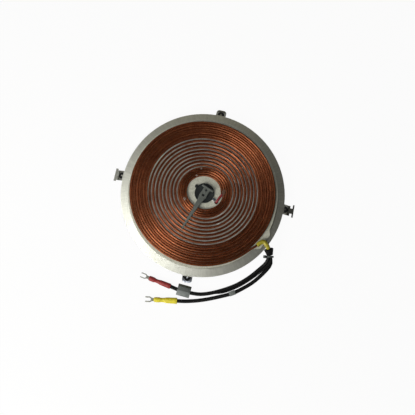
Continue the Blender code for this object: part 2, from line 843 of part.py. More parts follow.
def make_lead_exit(points, yellow, black, grey):
    way = (points[-1] - points[-2]).normalized()
    face = points[-1] + way * fit_gap
    route = [face, face + way * litz_radius] + [from_exit(stop) for stop in yellow_sleeve_route]
    sleeve = smooth_route(route, yellow_sleeve_diameter / 2)
    add_tube("outer_end_sleeve", sleeve, yellow_sleeve_diameter, fine_tube_steps, yellow)
    start, end = from_exit(boot_start), from_exit(boot_end)
    axis = end - start
    boot = cone_mesh("lead_boot", boot_wide / 2, boot_narrow / 2, axis.length, round_steps)
    boot.transform(Matrix.Diagonal((1, boot_flatness_share, 1, 1)))
    turn = axis.to_track_quat("Z", "Y").to_matrix().to_4x4()
    add_part("lead_boot", boot, black, Matrix.Translation((start + end) / 2) @ turn)
    outer = oval(tie_half_width + tie_wall, tie_half_height + tie_wall, tie_sides)
    inner = oval(tie_half_width, tie_half_height, tie_sides)
    ring = flat_curve("cable_tie", [outer, inner], tie_width)
    centre = from_exit(tie_centre)
    add_part("cable_tie", ring, grey, placed(centre, roll=math.pi / 2))
    head = block_mesh("cable_tie_head", tie_head_size)
    head_place = placed(centre, tilt=tie_head_tilt) @ Matrix.Translation((-tie_head_distance, 0, 0))
    head_part = add_part("cable_tie_head", head, grey, head_place)
    bevel(head_part, fit_gap)


def make_leads(black, grey):
    for name, route, diameter in (
        ("lead_a", lead_a_route, lead_diameter),
        ("lead_b", lead_b_route, lead_diameter),
        ("sensor_cable", sensor_route, sensor_diameter),
    ):
        points = smooth_route([from_exit(stop) for stop in route], lead_step_share * diameter)
        add_tube(name, points, diameter, fine_tube_steps, black)
        print(f"{name}: {route_length(points) * 1000:.0f} mm long, {len(points)} points")
    make_lead_clip(grey)


def rounded_square(size, corner, steps):
    half = size / 2 - corner
    quarter = math.pi / 2
    outline = []
    for index, (x, y) in enumerate(((1, 1), (-1, 1), (-1, -1), (1, -1))):
        outline += arc((x * half, y * half), corner, index * quarter, (index + 1) * quarter, steps)
    return outline


def make_lead_clip(grey):
    bore = circle((0, 0), lead_radius + fit_gap, bore_steps)
    curve = flat_curve("lead_clip", [rounded_square(clip_size, clip_corner, corner_steps), bore], clip_length)
    upright = placed(from_exit(clip_place), turn=clip_turn + math.pi / 2, roll=math.pi / 2)
    add_part("lead_clip", curve, grey, upright)


def make_connector(grey, brass):
    length, depth, height = connector_size
    centre = from_exit((*connector_centre, connector_base + height / 2))
    here = placed(centre, turn=connector_turn)
    housing = add_part("connector_housing", block_mesh("connector_housing", connector_size), grey, here)
    bevel(housing, connector_bevel)
    mouth_x, mouth_y, mouth_z = connector_mouth
    mouth_height = -height / 2 + connector_floor + mouth_z / 2
    mouth = block_mesh("connector_mouth", (mouth_x, mouth_y + cut_overrun, mouth_z))
    place = here @ Matrix.Translation((0, (depth - mouth_y + cut_overrun) / 2, mouth_height))
    combine(housing, add_cutter("connector_mouth", mouth, place), "DIFFERENCE")
    top = block_mesh("connector_cutback", (mouth_x, connector_mouth_cutback + cut_overrun, height))
    shift = (depth - connector_mouth_cutback + cut_overrun) / 2
    place = here @ Matrix.Translation((0, shift, connector_floor + mouth_z / 2))
    combine(housing, add_cutter("connector_cutback", top, place), "DIFFERENCE")
    slot_x, slot_y, slot_z = connector_slot
    slot = block_mesh("connector_slot", (slot_x, slot_y, 2 * slot_z))
    place = here @ Matrix.Translation((0, -depth / 6, height / 2))
    combine(housing, add_cutter("connector_slot", slot, place), "DIFFERENCE")
    for index, side in enumerate((-1, 1)):
        back = depth / 2 - mouth_y + contact_size[1] / 2 + fit_gap
        place = here @ Matrix.Translation((side * contact_spacing / 2, back, mouth_height))
        name = f"connector_contact_{index + 1}"
        add_part(name, block_mesh(name, contact_size), brass, place)


def fork_outline(width):
    half = width / 2
    slot = fork_gap / 2
    neck = fork_neck_width / 2
    bend = fork_length - fork_slot_depth + slot
    shoulder = bend - half
    quarter = math.pi / 2
    return (
        [Vector((0, -neck)), Vector((shoulder, -neck))]
        + arc((bend, 0), half, -quarter - quarter / 2, -quarter, corner_steps)
        + [Vector((fork_length, -half)), Vector((fork_length, -slot))]
        + arc((bend, 0), slot, -quarter, -3 * quarter, 2 * corner_steps)
        + [Vector((fork_length, slot)), Vector((fork_length, half))]
        + arc((bend, 0), half, quarter, quarter + quarter / 2, corner_steps)
        + [Vector((shoulder, neck)), Vector((0, neck))]
    )


def make_terminal(name, route, end, body_radius, bulb_share, width, cover, metal):
    start = from_exit(route[-1])
    axis = (from_exit(end) - start) * Vector((1, 1, 0))
    length = axis.length
    way = axis.normalized()
    profile = [(0, length)]
    for along, share in reversed(sleeve_shares):
        profile.append((share * body_radius * (bulb_share if along > bulb_start else 1), along * length))
    profile.append((0, 0))
    turn = way.to_track_quat("Z", "Y").to_matrix().to_4x4()
    place = start + way * 2 * fit_gap
    turned_object(f"{name}_terminal_sleeve", profile, sleeve_steps, cover, Matrix.Translation(place) @ turn)
    fork = flat_curve(f"{name}_fork", [fork_outline(width)], fork_thickness)
    fork_start = start + way * (length + 3 * fit_gap)
    add_part(f"{name}_fork", fork, metal, placed(fork_start, turn=math.atan2(way.y, way.x)))


def build():
    clear_scene()
    aluminium = make_material("aluminium_sheet", (0.55, 0.55, 0.50), 0.4, 1.0)
    rubber = make_material("black_rubber", (0.02, 0.022, 0.024), 0.6, 0.0)
    ferrite = make_material("ferrite", (0.06, 0.06, 0.065), 0.7, 0.0)
    mica = make_material("mica", (0.38, 0.39, 0.34), 0.5, 0.0)
    copper = make_material("enamelled_copper", (0.33, 0.11, 0.05), 0.35, 0.8)
    cord = make_material("glass_cord", (0.35, 0.34, 0.31), 0.8, 0.0)
    steel = make_material("grey_leaf", (0.12, 0.13, 0.12), 0.45, 0.3)
    glass = make_material("bead_glass", (0.5, 0.42, 0.3), 0.3, 0.0)
    red = make_material("red_sleeve", (0.35, 0.03, 0.04), 0.45, 0.0)
    yellow = make_material("yellow_sleeve", (0.42, 0.36, 0.05), 0.5, 0.0)
    blue = make_material("blue_wire", (0.03, 0.06, 0.14), 0.4, 0.0)
    white = make_material("white_wire", (0.75, 0.75, 0.75), 0.4, 0.0)
    glue = make_material("glue", (0.45, 0.36, 0.31), 0.3, 0.0)
    black = make_material("black_cable", (0.012, 0.012, 0.013), 0.4, 0.0)
    grey = make_material("grey_nylon", (0.22, 0.24, 0.23), 0.45, 0.0)
    brass = make_material("contact_brass", (0.6, 0.45, 0.15), 0.3, 1.0)
    tin = make_material("tinned_copper", (0.62, 0.60, 0.56), 0.3, 1.0)
    red_cover = make_material("red_cover", (0.32, 0.045, 0.05), 0.4, 0.0)
    yellow_cover = make_material("yellow_cover", (0.72, 0.62, 0.07), 0.4, 0.0)

    make_carrier_plate(aluminium, rubber)
    make_ferrite_bars(ferrite)
    make_mica_sheet(mica)
    winding = make_winding(copper, cord)
    make_sensor(rubber, steel, glass)
    make_inner_end(winding, red, copper, blue, white, black)
    make_glue_dots(glue)
    make_lead_exit(winding, yellow, black, grey)
    make_leads(black, grey)
    make_connector(grey, brass)
    make_terminal(
        "red", lead_a_route, red_end, red_body_radius, red_bulb_share, red_fork_width, red_cover, tin
    )
    make_terminal(
        "yellow", lead_b_route, yellow_end, yellow_body_radius, yellow_bulb_share, yellow_fork_width,
        yellow_cover, tin
    )


build()
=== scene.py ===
import json
import math

import bmesh
import bpy
from mathutils import Matrix, Vector

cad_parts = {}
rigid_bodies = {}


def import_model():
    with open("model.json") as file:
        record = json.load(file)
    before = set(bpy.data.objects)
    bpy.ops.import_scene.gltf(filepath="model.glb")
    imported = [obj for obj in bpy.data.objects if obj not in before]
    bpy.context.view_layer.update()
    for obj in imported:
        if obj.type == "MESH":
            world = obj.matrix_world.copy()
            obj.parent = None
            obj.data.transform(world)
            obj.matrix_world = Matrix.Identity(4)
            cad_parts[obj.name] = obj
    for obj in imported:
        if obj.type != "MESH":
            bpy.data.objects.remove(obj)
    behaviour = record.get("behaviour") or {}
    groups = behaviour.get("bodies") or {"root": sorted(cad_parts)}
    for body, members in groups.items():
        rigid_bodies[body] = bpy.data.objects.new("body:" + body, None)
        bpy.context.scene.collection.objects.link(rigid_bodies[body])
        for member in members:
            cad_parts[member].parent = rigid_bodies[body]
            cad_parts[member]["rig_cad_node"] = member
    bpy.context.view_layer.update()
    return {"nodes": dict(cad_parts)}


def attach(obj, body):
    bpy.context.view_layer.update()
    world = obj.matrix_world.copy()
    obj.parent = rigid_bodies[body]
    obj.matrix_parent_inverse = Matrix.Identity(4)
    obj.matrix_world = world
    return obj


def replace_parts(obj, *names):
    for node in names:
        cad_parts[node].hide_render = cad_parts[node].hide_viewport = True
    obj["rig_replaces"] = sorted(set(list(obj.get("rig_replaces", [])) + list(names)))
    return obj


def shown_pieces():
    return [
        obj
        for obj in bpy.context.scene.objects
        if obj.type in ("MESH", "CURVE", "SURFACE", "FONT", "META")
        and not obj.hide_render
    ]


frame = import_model()

UNIT = "coil_unit"
LEAF = "sensor_leaf"

# Places and sizes in metres; where the photograph and the part's source differ, the photograph's
COIL_CENTRE = Vector((0.0009, 0.0024, 0))
INNER_END = Vector((0.0284, 0.0038, 0.01755))
INWARD = Vector((-math.sin(math.radians(8)), -math.cos(math.radians(8)), 0))
MICA_BASE = 0.0151
MICA_TOP = 0.0159
LITZ_AXIS = 0.01755
SLEEVE_AXIS = 0.0188
MICA_RADIUS = 0.1092
LEAF_TOP = 0.0207
LITZ_DIAMETER = 0.00345
STRAND_DIAMETER = 0.0012
CORD_DIAMETER = 0.0016
PLY_DIAMETER = 0.00086
RED_SLEEVE_DIAMETER = 0.0035
YELLOW_SLEEVE_DIAMETER = 0.0062
BUSH_LIP = 0.00028
HOLDER_CENTRE = Vector((0.0024, 0.0021, 0))
HOLDER_RADIUS = 0.0144
LEAF_CENTRE = Vector((0.0071, 0.0089, 0))
LEAF_DIRECTION = math.radians(237.5)
EXIT_ANGLE = math.radians(-39)
EXIT_POINT = 0.120 * Vector((math.cos(EXIT_ANGLE), math.sin(EXIT_ANGLE), 0))

# Where the winding's inner end goes down, as an angle round the sensor holder and a distance from its rim
INNER_EYE = (-36.5, 0.00726)

# In turns: the winding's length, where the cord starts beside it, and the cord's ends from there
LITZ_TURNS = 20 - 50.5 / 360
CORD_START = 0.375
CORD_ENDS = (-0.06, 8.0)

# Places from here on are measured from the point on the plate's rim where the leads leave
MICA_TONGUE = (
    (0.0163, 0.0508), (0.0081, 0.0332), (0.0037, 0.0237), (0.0044, 0.0171), (0.0039, 0.0149),
    (0.0002, 0.0109), (-0.0059, 0.0015), (-0.0093, -0.0032), (-0.0137, -0.0039), (-0.0182, -0.0060),
)
CONNECTOR_PLACE = (-0.12076, -0.06398)
CONNECTOR_TURN = math.radians(-15.6)
LEAD_DIAMETER = 0.0056
SENSOR_DIAMETER = 0.0028
LEAD_A = (
    (0.00255, -0.01430, 0.0104), (0.00250, -0.01659, 0.0100), (-0.00060, -0.02330, 0.0066),
    (-0.00645, -0.02915, 0.0036), (-0.01385, -0.03545, 0.0029), (-0.02230, -0.04230, 0.0029),
    (-0.03390, -0.05000, 0.0029), (-0.04560, -0.05620, 0.0029), (-0.05846, -0.06110, 0.0029),
    (-0.07256, -0.06529, 0.0029), (-0.08646, -0.06809, 0.0029), (-0.10056, -0.06880, 0.0029),
    (-0.12026, -0.06500, 0.0029), (-0.13216, -0.06120, 0.0030), (-0.13650, -0.05930, 0.0038),
    (-0.14020, -0.05770, 0.0041),
)
LEAD_B = (
    (0.00540, -0.01382, 0.0056), (0.00570, -0.01785, 0.0054), (0.00550, -0.02580, 0.0036),
    (-0.00045, -0.03385, 0.0034), (-0.00815, -0.04155, 0.0029), (-0.01850, -0.05048, 0.0029),
    (-0.02955, -0.05760, 0.0030), (-0.04375, -0.06510, 0.0037), (-0.05030, -0.06760, 0.0037),
    (-0.05720, -0.06980, 0.0035), (-0.07270, -0.07340, 0.0029), (-0.08650, -0.07620, 0.0029),
    (-0.10060, -0.07820, 0.0029), (-0.11470, -0.07910, 0.0032), (-0.12430, -0.07900, 0.0044),
    (-0.13050, -0.07860, 0.0047),
)
SENSOR_CABLE = (
    (0.00670, -0.01369, 0.0106), (0.00620, -0.01803, 0.0102), (0.00320, -0.02430, 0.0086),
    (-0.00270, -0.03072, 0.0070), (-0.01112, -0.03811, 0.0058), (-0.02066, -0.04537, 0.0051),
    (-0.03158, -0.05255, 0.0049), (-0.04454, -0.05948, 0.0049), (-0.05752, -0.06452, 0.0051),
    (-0.06626, -0.06680, 0.0056), (-0.07476, -0.06740, 0.0066), (-0.08426, -0.06800, 0.0071),
    (-0.09526, -0.06860, 0.0072), (-0.10220, -0.06840, 0.0083), (-0.10710, -0.06760, 0.0093),
    (-0.11090, -0.06650, 0.0097),
)


# Shader sums

class Value:
    """A shader socket that can be written in sums."""

    def __init__(self, finish, socket):
        self.finish = finish
        self.socket = socket

    def sum(self, operation, *values):
        return self.finish.node("Math", {"operation": operation}, dict(enumerate(values)))

    def __add__(self, other):
        return self.sum("ADD", self, other)

    def __sub__(self, other):
        return self.sum("SUBTRACT", self, other)

    def __mul__(self, other):
        return self.sum("MULTIPLY", self, other)

    def __truediv__(self, other):
        return self.sum("DIVIDE", self, other)

    def __pow__(self, other):
        return self.sum("POWER", self, other)

    __radd__ = __add__

    def sine(self):
        return self.sum("SINE", self)

    def clamped(self, low, high):
        """Runs from 0 to 1 as the value goes from low to high."""
        return self.finish.node(
            "MapRange", {"clamp": True, "interpolation_type": "SMOOTHSTEP"},
            {"Value": self, "From Min": low, "From Max": high},
        )


class Finish:
    """One material and the nodes that make it."""

    def __init__(self, name, **constants):
        self.material = bpy.data.materials.new(name)
        self.material.use_nodes = True
        self.tree = self.material.node_tree
        self.shader = self.tree.nodes["Principled BSDF"]
        for socket, value in constants.items():
            words = socket.replace("_", " ").title().replace("Ior", "IOR")
            self.shader.inputs[words].default_value = value

    def feed(self, socket, value):
        if isinstance(value, Value):
            self.tree.links.new(value.socket, socket)
        elif hasattr(value, "__len__") and len(value) == 3 and len(socket.default_value) == 4:
            socket.default_value = (*value, 1)
        else:
            socket.default_value = value

    def node(self, kind, settings=None, sockets=None, output=0):
        made = self.tree.nodes.new("ShaderNode" + kind)
        for key, value in (settings or {}).items():
            if key == "stops":
                ramp = made.color_ramp.elements
                while len(ramp) < len(value):
                    ramp.new(1)
                for stop, (place, colour) in zip(ramp, value):
                    stop.position = place
                    stop.color = (*colour, 1)
            else:
                setattr(made, key, value)
        for key, value in (sockets or {}).items():
            self.feed(made.inputs[key], value)
        return Value(self, made.outputs[output])

    def place(self):
        """The object's own coordinates, in metres."""
        return self.node("TexCoord", output=3)

    def along(self):
        """The piece's own UV map."""
        return self.node("UVMap", {"uv_map": "UVMap"})

    def split(self, vector):
        return [self.node("SeparateXYZ", sockets={0: vector}, output=index) for index in range(3)]

    def join(self, x, y, z=0.0):
        return self.node("CombineXYZ", sockets={0: x, 1: y, 2: z})

    def stretched(self, vector, scale):
        return self.node("VectorMath", {"operation": "MULTIPLY"}, {0: vector, 1: scale})

    def noise(self, vector, scale, detail=3.0, roughness=0.5):
        return self.node(
            "TexNoise", None, {"Vector": vector, "Scale": scale, "Detail": detail, "Roughness": roughness}
        )

    def cells(self, vector, scale, output=0):
        return self.node("TexVoronoi", None, {"Vector": vector, "Scale": scale}, output)

    def ramp(self, value, *stops):
        return self.node("ValToRGB", {"stops": stops}, {0: value})

    def blend(self, share, first, second):
        return self.node("Mix", {"data_type": "RGBA"}, {0: share, 6: first, 7: second}, 2)

    def bump(self, height, distance, strength):
        return self.node("Bump", None, {"Height": height, "Distance": distance, "Strength": strength})

    def surface(self, colour, roughness=None, normal=None):
        for name, value in (("Base Color", colour), ("Roughness", roughness), ("Normal", normal)):
            if value is not None:
                self.feed(self.shader.inputs[name], value)
        return self.material


# Finishes

def rolled_aluminium():
    """Sheet with a fine grain that runs out from the middle; on the legs beyond the rim, painted shade
    darkens the metal, and on the bottom leg a painted reflection of the lit floor makes it pale
    blue-grey.
    """
    f = Finish("rolled_aluminium", metallic=1.0)
    p = f.place()
    x, y = f.split(p)[:2]
    never_zero = 0.0001
    reach = (x * x + y * y + never_zero) ** 0.5
    rays = f.join(x / reach, y / reach, reach * 1.5)
    streaks = f.noise(rays, 46, 5, 0.65)
    fine = f.noise(rays, 160, 3, 0.6)
    patches = f.noise(p, 34, 4, 0.6)
    speck = f.noise(p, 2600, 2, 0.5)
    tone = streaks * 0.5 + fine * 0.25 + speck * 0.25
    colour = f.ramp(
        tone, (0.30, (0.45, 0.447, 0.39)), (0.52, (0.57, 0.565, 0.485)), (0.72, (0.68, 0.675, 0.595))
    )
    stained = f.blend(patches.clamped(0.55, 0.75) * 0.35, colour, (0.42, 0.42, 0.35))
    # Painted light on the legs: all legs but the bottom one are darkened as painted shade, and the bottom
    # leg is painted pale blue-grey as a reflection of the lit floor
    on_bottom_leg = y.clamped(-0.119, -0.121)
    leg_painted_shade_and_reflection = f.blend(on_bottom_leg, (0.26, 0.26, 0.225), (0.60, 0.64, 0.70))
    on_leg = reach.clamped(0.1204, 0.1214)
    rough = 0.22 + tone * 0.10 + patches * 0.04
    grain = f.bump(streaks + fine * 0.5, 0.00008, 0.25)
    return f.surface(f.blend(on_leg, stained, leg_painted_shade_and_reflection), rough, grain)


def pressed_mica():
    f = Finish("pressed_mica", coat_weight=0.15, coat_roughness=0.35)
    p = f.place()
    flakes = f.cells(p, 700, 1)
    grey = f.node("SeparateColor", None, {0: flakes})
    cloud = f.noise(p, 130, 4, 0.6)
    tone = grey * 0.35 + cloud * 0.65
    colour = f.ramp(
        tone, (0.25, (0.48, 0.49, 0.41)), (0.5, (0.62, 0.63, 0.54)), (0.75, (0.73, 0.735, 0.64))
    )
    return f.surface(colour, 0.42 + grey * 0.2, f.bump(tone, 0.00006, 0.5))


def enamelled_copper():
    """Twisted strands, each of a slightly different age and shine."""
    f = Finish("enamelled_copper", metallic=0.95, anisotropic=0.85, anisotropic_rotation=0.25)
    p = f.place()
    mottled = f.noise(p, 420, 4, 0.65)
    patches = f.noise(p, 105, 3, 0.6)
    u, v = f.split(f.along())[:2]
    strands = f.noise(f.join(u * 3.0, v * 2400.0, mottled * 0.4), 1.0, 3, 0.6)
    tone = strands * 0.48 + mottled * 0.24 + patches * 0.28
    colour = f.ramp(
        tone, (0.30, (0.11, 0.031, 0.014)), (0.46, (0.235, 0.072, 0.031)),
        (0.60, (0.38, 0.128, 0.056)), (0.78, (0.58, 0.22, 0.105)),
    )
    return f.surface(colour, 0.34 + mottled * 0.14, f.bump(strands + mottled * 0.5, 0.00006, 0.4))


def grey_cord():
    """Varnished glass yarn, browned in places."""
    f = Finish("grey_cord", metallic=0.35, coat_weight=0.8, coat_roughness=0.15)
    p = f.place()
    fibres = f.noise(p, 1500, 4, 0.7)
    dirt = f.noise(p, 75, 3, 0.6)
    colour = f.ramp(
        fibres, (0.3, (0.48, 0.445, 0.41)), (0.55, (0.74, 0.70, 0.655)), (0.8, (0.95, 0.92, 0.88))
    )
    browned = f.blend(dirt.clamped(0.42, 0.70) * 0.55, colour, (0.24, 0.13, 0.085))
    return f.surface(browned, 0.38 + fibres * 0.3, f.bump(fibres, 0.00012, 0.8))


def moulded_rubber():
    f = Finish("moulded_rubber", specular_ior_level=0.45)
    p = f.place()
    grain = f.noise(p, 2300, 3, 0.6)
    bloom = f.noise(p, 160, 4, 0.6)
    colour = f.ramp(bloom, (0.35, (0.009, 0.012, 0.014)), (0.7, (0.020, 0.026, 0.028)))
    return f.surface(colour, 0.48 + grain * 0.25, f.bump(grain, 0.00008, 0.5))


def grey_leaf_paint():
    f = Finish("grey_leaf_paint", metallic=0.25)
    p = f.place()
    peel = f.noise(p, 900, 3, 0.5)
    wear = f.noise(p, 260, 4, 0.65)
    colour = f.ramp(
        wear, (0.3, (0.115, 0.128, 0.118)), (0.6, (0.142, 0.155, 0.143)), (0.85, (0.20, 0.205, 0.19))
    )
    return f.surface(colour, 0.40 + peel * 0.2, f.bump(peel, 0.00005, 0.5))


def woven_sleeve(name, dark, light, around, pitch, roughness):
    """Braid of crossing yarns under varnish; u runs once round the tube and v along it in metres."""
    f = Finish(name, coat_weight=0.25, coat_roughness=0.3)
    u, v = f.split(f.along())[:2]
    one = (u * (around * math.tau) + v * (math.tau / pitch)).sine()
    other = (u * (around * math.tau) - v * (math.tau / pitch)).sine()
    yarns = one.sum("MAXIMUM", one, other) * 0.5 + 0.5
    tired = f.noise(f.place(), 420, 4, 0.6)
    tone = yarns * 0.45 + tired * 0.55
    colour = f.blend(tone.clamped(0.25, 0.8), dark, light)
    return f.surface(colour, roughness + tired * 0.2, f.bump(yarns, 0.00015, 0.55))


def black_jacket():
    f = Finish("black_jacket", specular_ior_level=0.22)
    p = f.place()
    skin = f.noise(p, 1300, 3, 0.6)
    dust = f.noise(p, 110, 4, 0.65)
    colour = f.ramp(
        dust, (0.35, (0.0055, 0.0058, 0.0062)), (0.62, (0.008, 0.0085, 0.009)),
        (0.9, (0.014, 0.014, 0.0135)),
    )
    return f.surface(colour, 0.42 + dust * 0.14 + skin * 0.10, f.bump(skin, 0.00006, 0.5))


def shrunk_collar():
    f = Finish("shrunk_collar", specular_ior_level=0.2)
    p = f.place()
    folds = f.noise(p, 420, 3, 0.55)
    grain = f.noise(p, 2100, 3, 0.6)
    colour = f.ramp(folds, (0.35, (0.0045, 0.0045, 0.005)), (0.7, (0.009, 0.009, 0.010)))
    return f.surface(colour, 0.50 + grain * 0.2, f.bump(grain + folds, 0.00008, 0.5))


def grey_nylon(name, low, high):
    f = Finish(name)
    p = f.place()
    flow = f.noise(f.stretched(p, (1, 1, 2.5)), 240, 4, 0.55)
    grain = f.noise(p, 2600, 2, 0.5)
    colour = f.ramp(flow, (0.32, low), (0.68, high))
    return f.surface(colour, 0.38 + grain * 0.2, f.bump(grain, 0.00005, 0.5))


def connector_nylon():
    """Grey nylon with painted shade: darker over the half towards the housing's mouth and darkest in a
    strip along the mouth.
    """
    f = Finish("connector_nylon")
    p = f.place()
    x, y = f.split(p)[:2]
    middle = EXIT_POINT + Vector((*CONNECTOR_PLACE, 0))
    forward = (x - middle.x) * -math.sin(CONNECTOR_TURN) + (y - middle.y) * math.cos(CONNECTOR_TURN)
    flow = f.noise(p, 240, 4, 0.55)
    grain = f.noise(p, 2600, 2, 0.5)
    colour = f.ramp(flow, (0.32, (0.205, 0.232, 0.230)), (0.68, (0.295, 0.328, 0.325)))
    # Painted shade: the half of the housing towards the mouth is darkened
    colour = f.blend(forward.clamped(-0.0016, -0.0004) * 0.75, colour, (0.088, 0.100, 0.096))
    # Painted shade: a dark olive strip along the mouth
    colour = f.blend(forward.clamped(0.0052, 0.0058), colour, (0.045, 0.052, 0.036))
    return f.surface(colour, 0.38 + grain * 0.2, f.bump(grain, 0.00005, 0.5))


def vinyl_cover(name, dark, light, roughness):
    f = Finish(name, specular_ior_level=0.4)
    p = f.place()
    flow = f.noise(p, 310, 4, 0.6)
    skin = f.noise(p, 1900, 2, 0.5)
    colour = f.blend(flow.clamped(0.3, 0.72), dark, light)
    return f.surface(colour, roughness + skin * 0.16, f.bump(skin, 0.00004, 0.4))


def tinned_metal():
    f = Finish("tinned_metal", metallic=0.35)
    p = f.place()
    scuffs = f.noise(f.stretched(p, (1, 3, 1)), 700, 5, 0.7)
    stain = f.noise(p, 190, 4, 0.6)
    colour = f.ramp(stain, (0.3, (0.27, 0.28, 0.25)), (0.7, (0.38, 0.39, 0.35)))
    return f.surface(colour, 0.36 + scuffs * 0.22, f.bump(scuffs, 0.00005, 0.5))


def contact_brass():
    f = Finish("contact_brass", metallic=1.0)
    stain = f.noise(f.place(), 900, 4, 0.6)
    colour = f.ramp(stain, (0.3, (0.46, 0.32, 0.11)), (0.7, (0.70, 0.53, 0.22)))
    return f.surface(colour, 0.25 + stain * 0.2, f.bump(stain, 0.00004, 0.5))


def sintered_ferrite():
    f = Finish("sintered_ferrite")
    p = f.place()
    pores = f.cells(p, 1800)
    cloud = f.noise(p, 300, 4, 0.6)
    colour = f.ramp(cloud, (0.3, (0.028, 0.028, 0.031)), (0.7, (0.062, 0.062, 0.066)))
    return f.surface(colour, 0.55 + cloud * 0.25, f.bump(pores, 0.00008, 0.5))


def dried_glue():
    f = Finish("dried_glue", transmission_weight=0.25, coat_weight=0.6, coat_roughness=0.12)
    cloud = f.noise(f.place(), 800, 4, 0.6)
    colour = f.ramp(cloud, (0.3, (0.30, 0.17, 0.13)), (0.7, (0.52, 0.40, 0.35)))
    return f.surface(colour, 0.18 + cloud * 0.2, f.bump(cloud, 0.0001, 0.5))


def run_varnish():
    f = Finish("run_varnish", coat_weight=0.5, coat_roughness=0.2, alpha=0.5)
    cloud = f.noise(f.place(), 700, 4, 0.6)
    colour = f.ramp(cloud, (0.3, (0.13, 0.075, 0.048)), (0.7, (0.22, 0.14, 0.10)))
    return f.surface(colour, 0.25 + cloud * 0.2, f.bump(cloud, 0.0001, 0.5))


def bead_glass():
    f = Finish("bead_glass", coat_weight=0.4)
    cloud = f.noise(f.place(), 700, 3, 0.5)
    colour = f.ramp(cloud, (0.3, (0.36, 0.27, 0.17)), (0.7, (0.52, 0.43, 0.30)))
    return f.surface(colour, 0.2 + cloud * 0.15, f.bump(cloud, 0.00005, 0.4))


def pale_floor():
    """Pale paper, brighter to the camera and in reflections; the object's shadow stays on it."""
    f = Finish("pale_floor", base_color=(0.86, 0.86, 0.86, 1), roughness=0.9)
    grain = f.noise(f.place(), 40, 3, 0.5)
    f.surface(f.ramp(grain, (0.3, (0.85, 0.85, 0.85)), (0.7, (0.88, 0.88, 0.88))))
    white = f.node("Emission", None, {0: (1, 1, 1), 1: 1.0})
    camera_ray, glossy_ray = [f.node("LightPath", output=index) for index in (0, 3)]
    brightened = camera_ray * 0.95 + glossy_ray * 0.30
    paper = Value(f, f.shader.outputs[0])
    mixed = f.node("MixShader", None, {0: brightened, 1: paper, 2: white})
    f.tree.links.new(mixed.socket, f.tree.nodes["Material Output"].inputs[0])
    return f.material


# Shaping helpers

def added(name, data):
    made = bpy.data.objects.new(name, data)
    bpy.context.scene.collection.objects.link(made)
    return made


def finished(name, shape, material, body=UNIT, replaces=(), smooth=math.radians(35)):
    """Makes a piece of a builder or a mesh, and says what it moves with and what it replaces."""
    mesh = shape
    if isinstance(shape, bmesh.types.BMesh):
        mesh = bpy.data.meshes.new(name)
        bmesh.ops.recalc_face_normals(shape, faces=shape.faces)
        shape.to_mesh(mesh)
        shape.free()
    piece = added(name, mesh)
    mesh.materials.clear()
    mesh.materials.append(material)
    mesh.shade_smooth()
    mesh.set_sharp_from_angle(angle=smooth)
    if replaces:
        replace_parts(piece, *replaces)
    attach(piece, body)
    return piece


def from_exit(place):
    return EXIT_POINT + Vector(place)


def from_holder(degrees, distance, height):
    """A place at an angle round the sensor holder, at a distance from its rim."""
    reach = HOLDER_RADIUS + distance
    angle = math.radians(degrees)
    return HOLDER_CENTRE + Vector((reach * math.cos(angle), reach * math.sin(angle), height))


def spot(place, turn=0.0, axis="Z"):
    """The matrix that turns about an axis and then moves to a place."""
    return Matrix.Translation(place) @ Matrix.Rotation(turn, 4, axis)


def facing(place, way):
    """The matrix that makes Z point a given way and then moves to a place."""
    return Matrix.Translation(place) @ way.to_track_quat("Z", "Y").to_matrix().to_4x4()


def route_length(points):
    return sum((b - a).length for a, b in zip(points, points[1:]))


def evened(coarse, spacing):
    """The same route in even steps of about the given length."""
    total = route_length(coarse)
    count = round(total / spacing)
    points = [coarse[0]]
    walked = 0.0
    for a, b in zip(coarse, coarse[1:]):
        length = (b - a).length
        while len(points) < count and walked + length >= total * len(points) / count:
            points.append(a.lerp(b, (total * len(points) / count - walked) / max(length, 1e-9)))
        walked += length
    points.append(coarse[-1])
    return points


def smooth_route(stops, spacing):
    """Points at even steps along a smooth curve through the stops."""
    stops = [Vector(stop) for stop in stops]
    stops = [2 * stops[0] - stops[1]] + stops + [2 * stops[-1] - stops[-2]]
    parts = 24
    fine = []
    for before, start, end, after in zip(stops, stops[1:], stops[2:], stops[3:]):
        for step in range(parts):
            t = step / parts
            fine.append(
                0.5 * (
                    2 * start + (end - before) * t + (2 * before - 5 * start + 4 * end - after) * t ** 2
                    + (3 * start - before - 3 * end + after) * t ** 3
                )
            )
    fine.append(stops[-2])
    return evened(fine, spacing)


def line_curve(name, lines, diameter, resolution, caps=True):
    """A curve that is round and solid along each of the lines."""
    curve = bpy.data.curves.new(name, "CURVE")
    curve.dimensions = "3D"
    curve.bevel_depth = diameter / 2
    curve.bevel_resolution = resolution
    curve.use_fill_caps = caps
    curve.twist_mode = "MINIMUM"
    for points in lines:
        spline = curve.splines.new("POLY")
        spline.points.add(len(points) - 1)
        for point, place in zip(spline.points, points):
            point.co = (*place, 1)
    return curve


def as_mesh(curve):
    """A mesh in place of the curve; its UV map has u along each line, in steps of one for each line."""
    name = curve.name
    guide = added(name + "_guide", curve)
    bpy.context.view_layer.update()
    mesh = bpy.data.meshes.new_from_object(guide.evaluated_get(bpy.context.evaluated_depsgraph_get()))
    bpy.data.objects.remove(guide)
    bpy.data.curves.remove(curve)
    mesh.name = name
    return mesh


def tube(name, points, diameter, resolution, caps=True):
    """A tube as a mesh, whose UV map has u round it and v along it in metres."""
    mesh = as_mesh(line_curve(name, [points], diameter, resolution, caps))
    length = route_length(points)
    layer = mesh.uv_layers.active
    layer.name = "UVMap"
    for corner in layer.data:
        u, v = corner.uv
        corner.uv = (v, u * length)
    return mesh


def moved(builder, matrix):
    bmesh.ops.transform(builder, matrix=matrix, verts=builder.verts)
    return builder


def soften(builder, edges, offset, segments=2):
    bmesh.ops.bevel(
        builder, geom=edges, offset=offset, segments=segments, profile=0.5, affect="EDGES", material=-1
    )


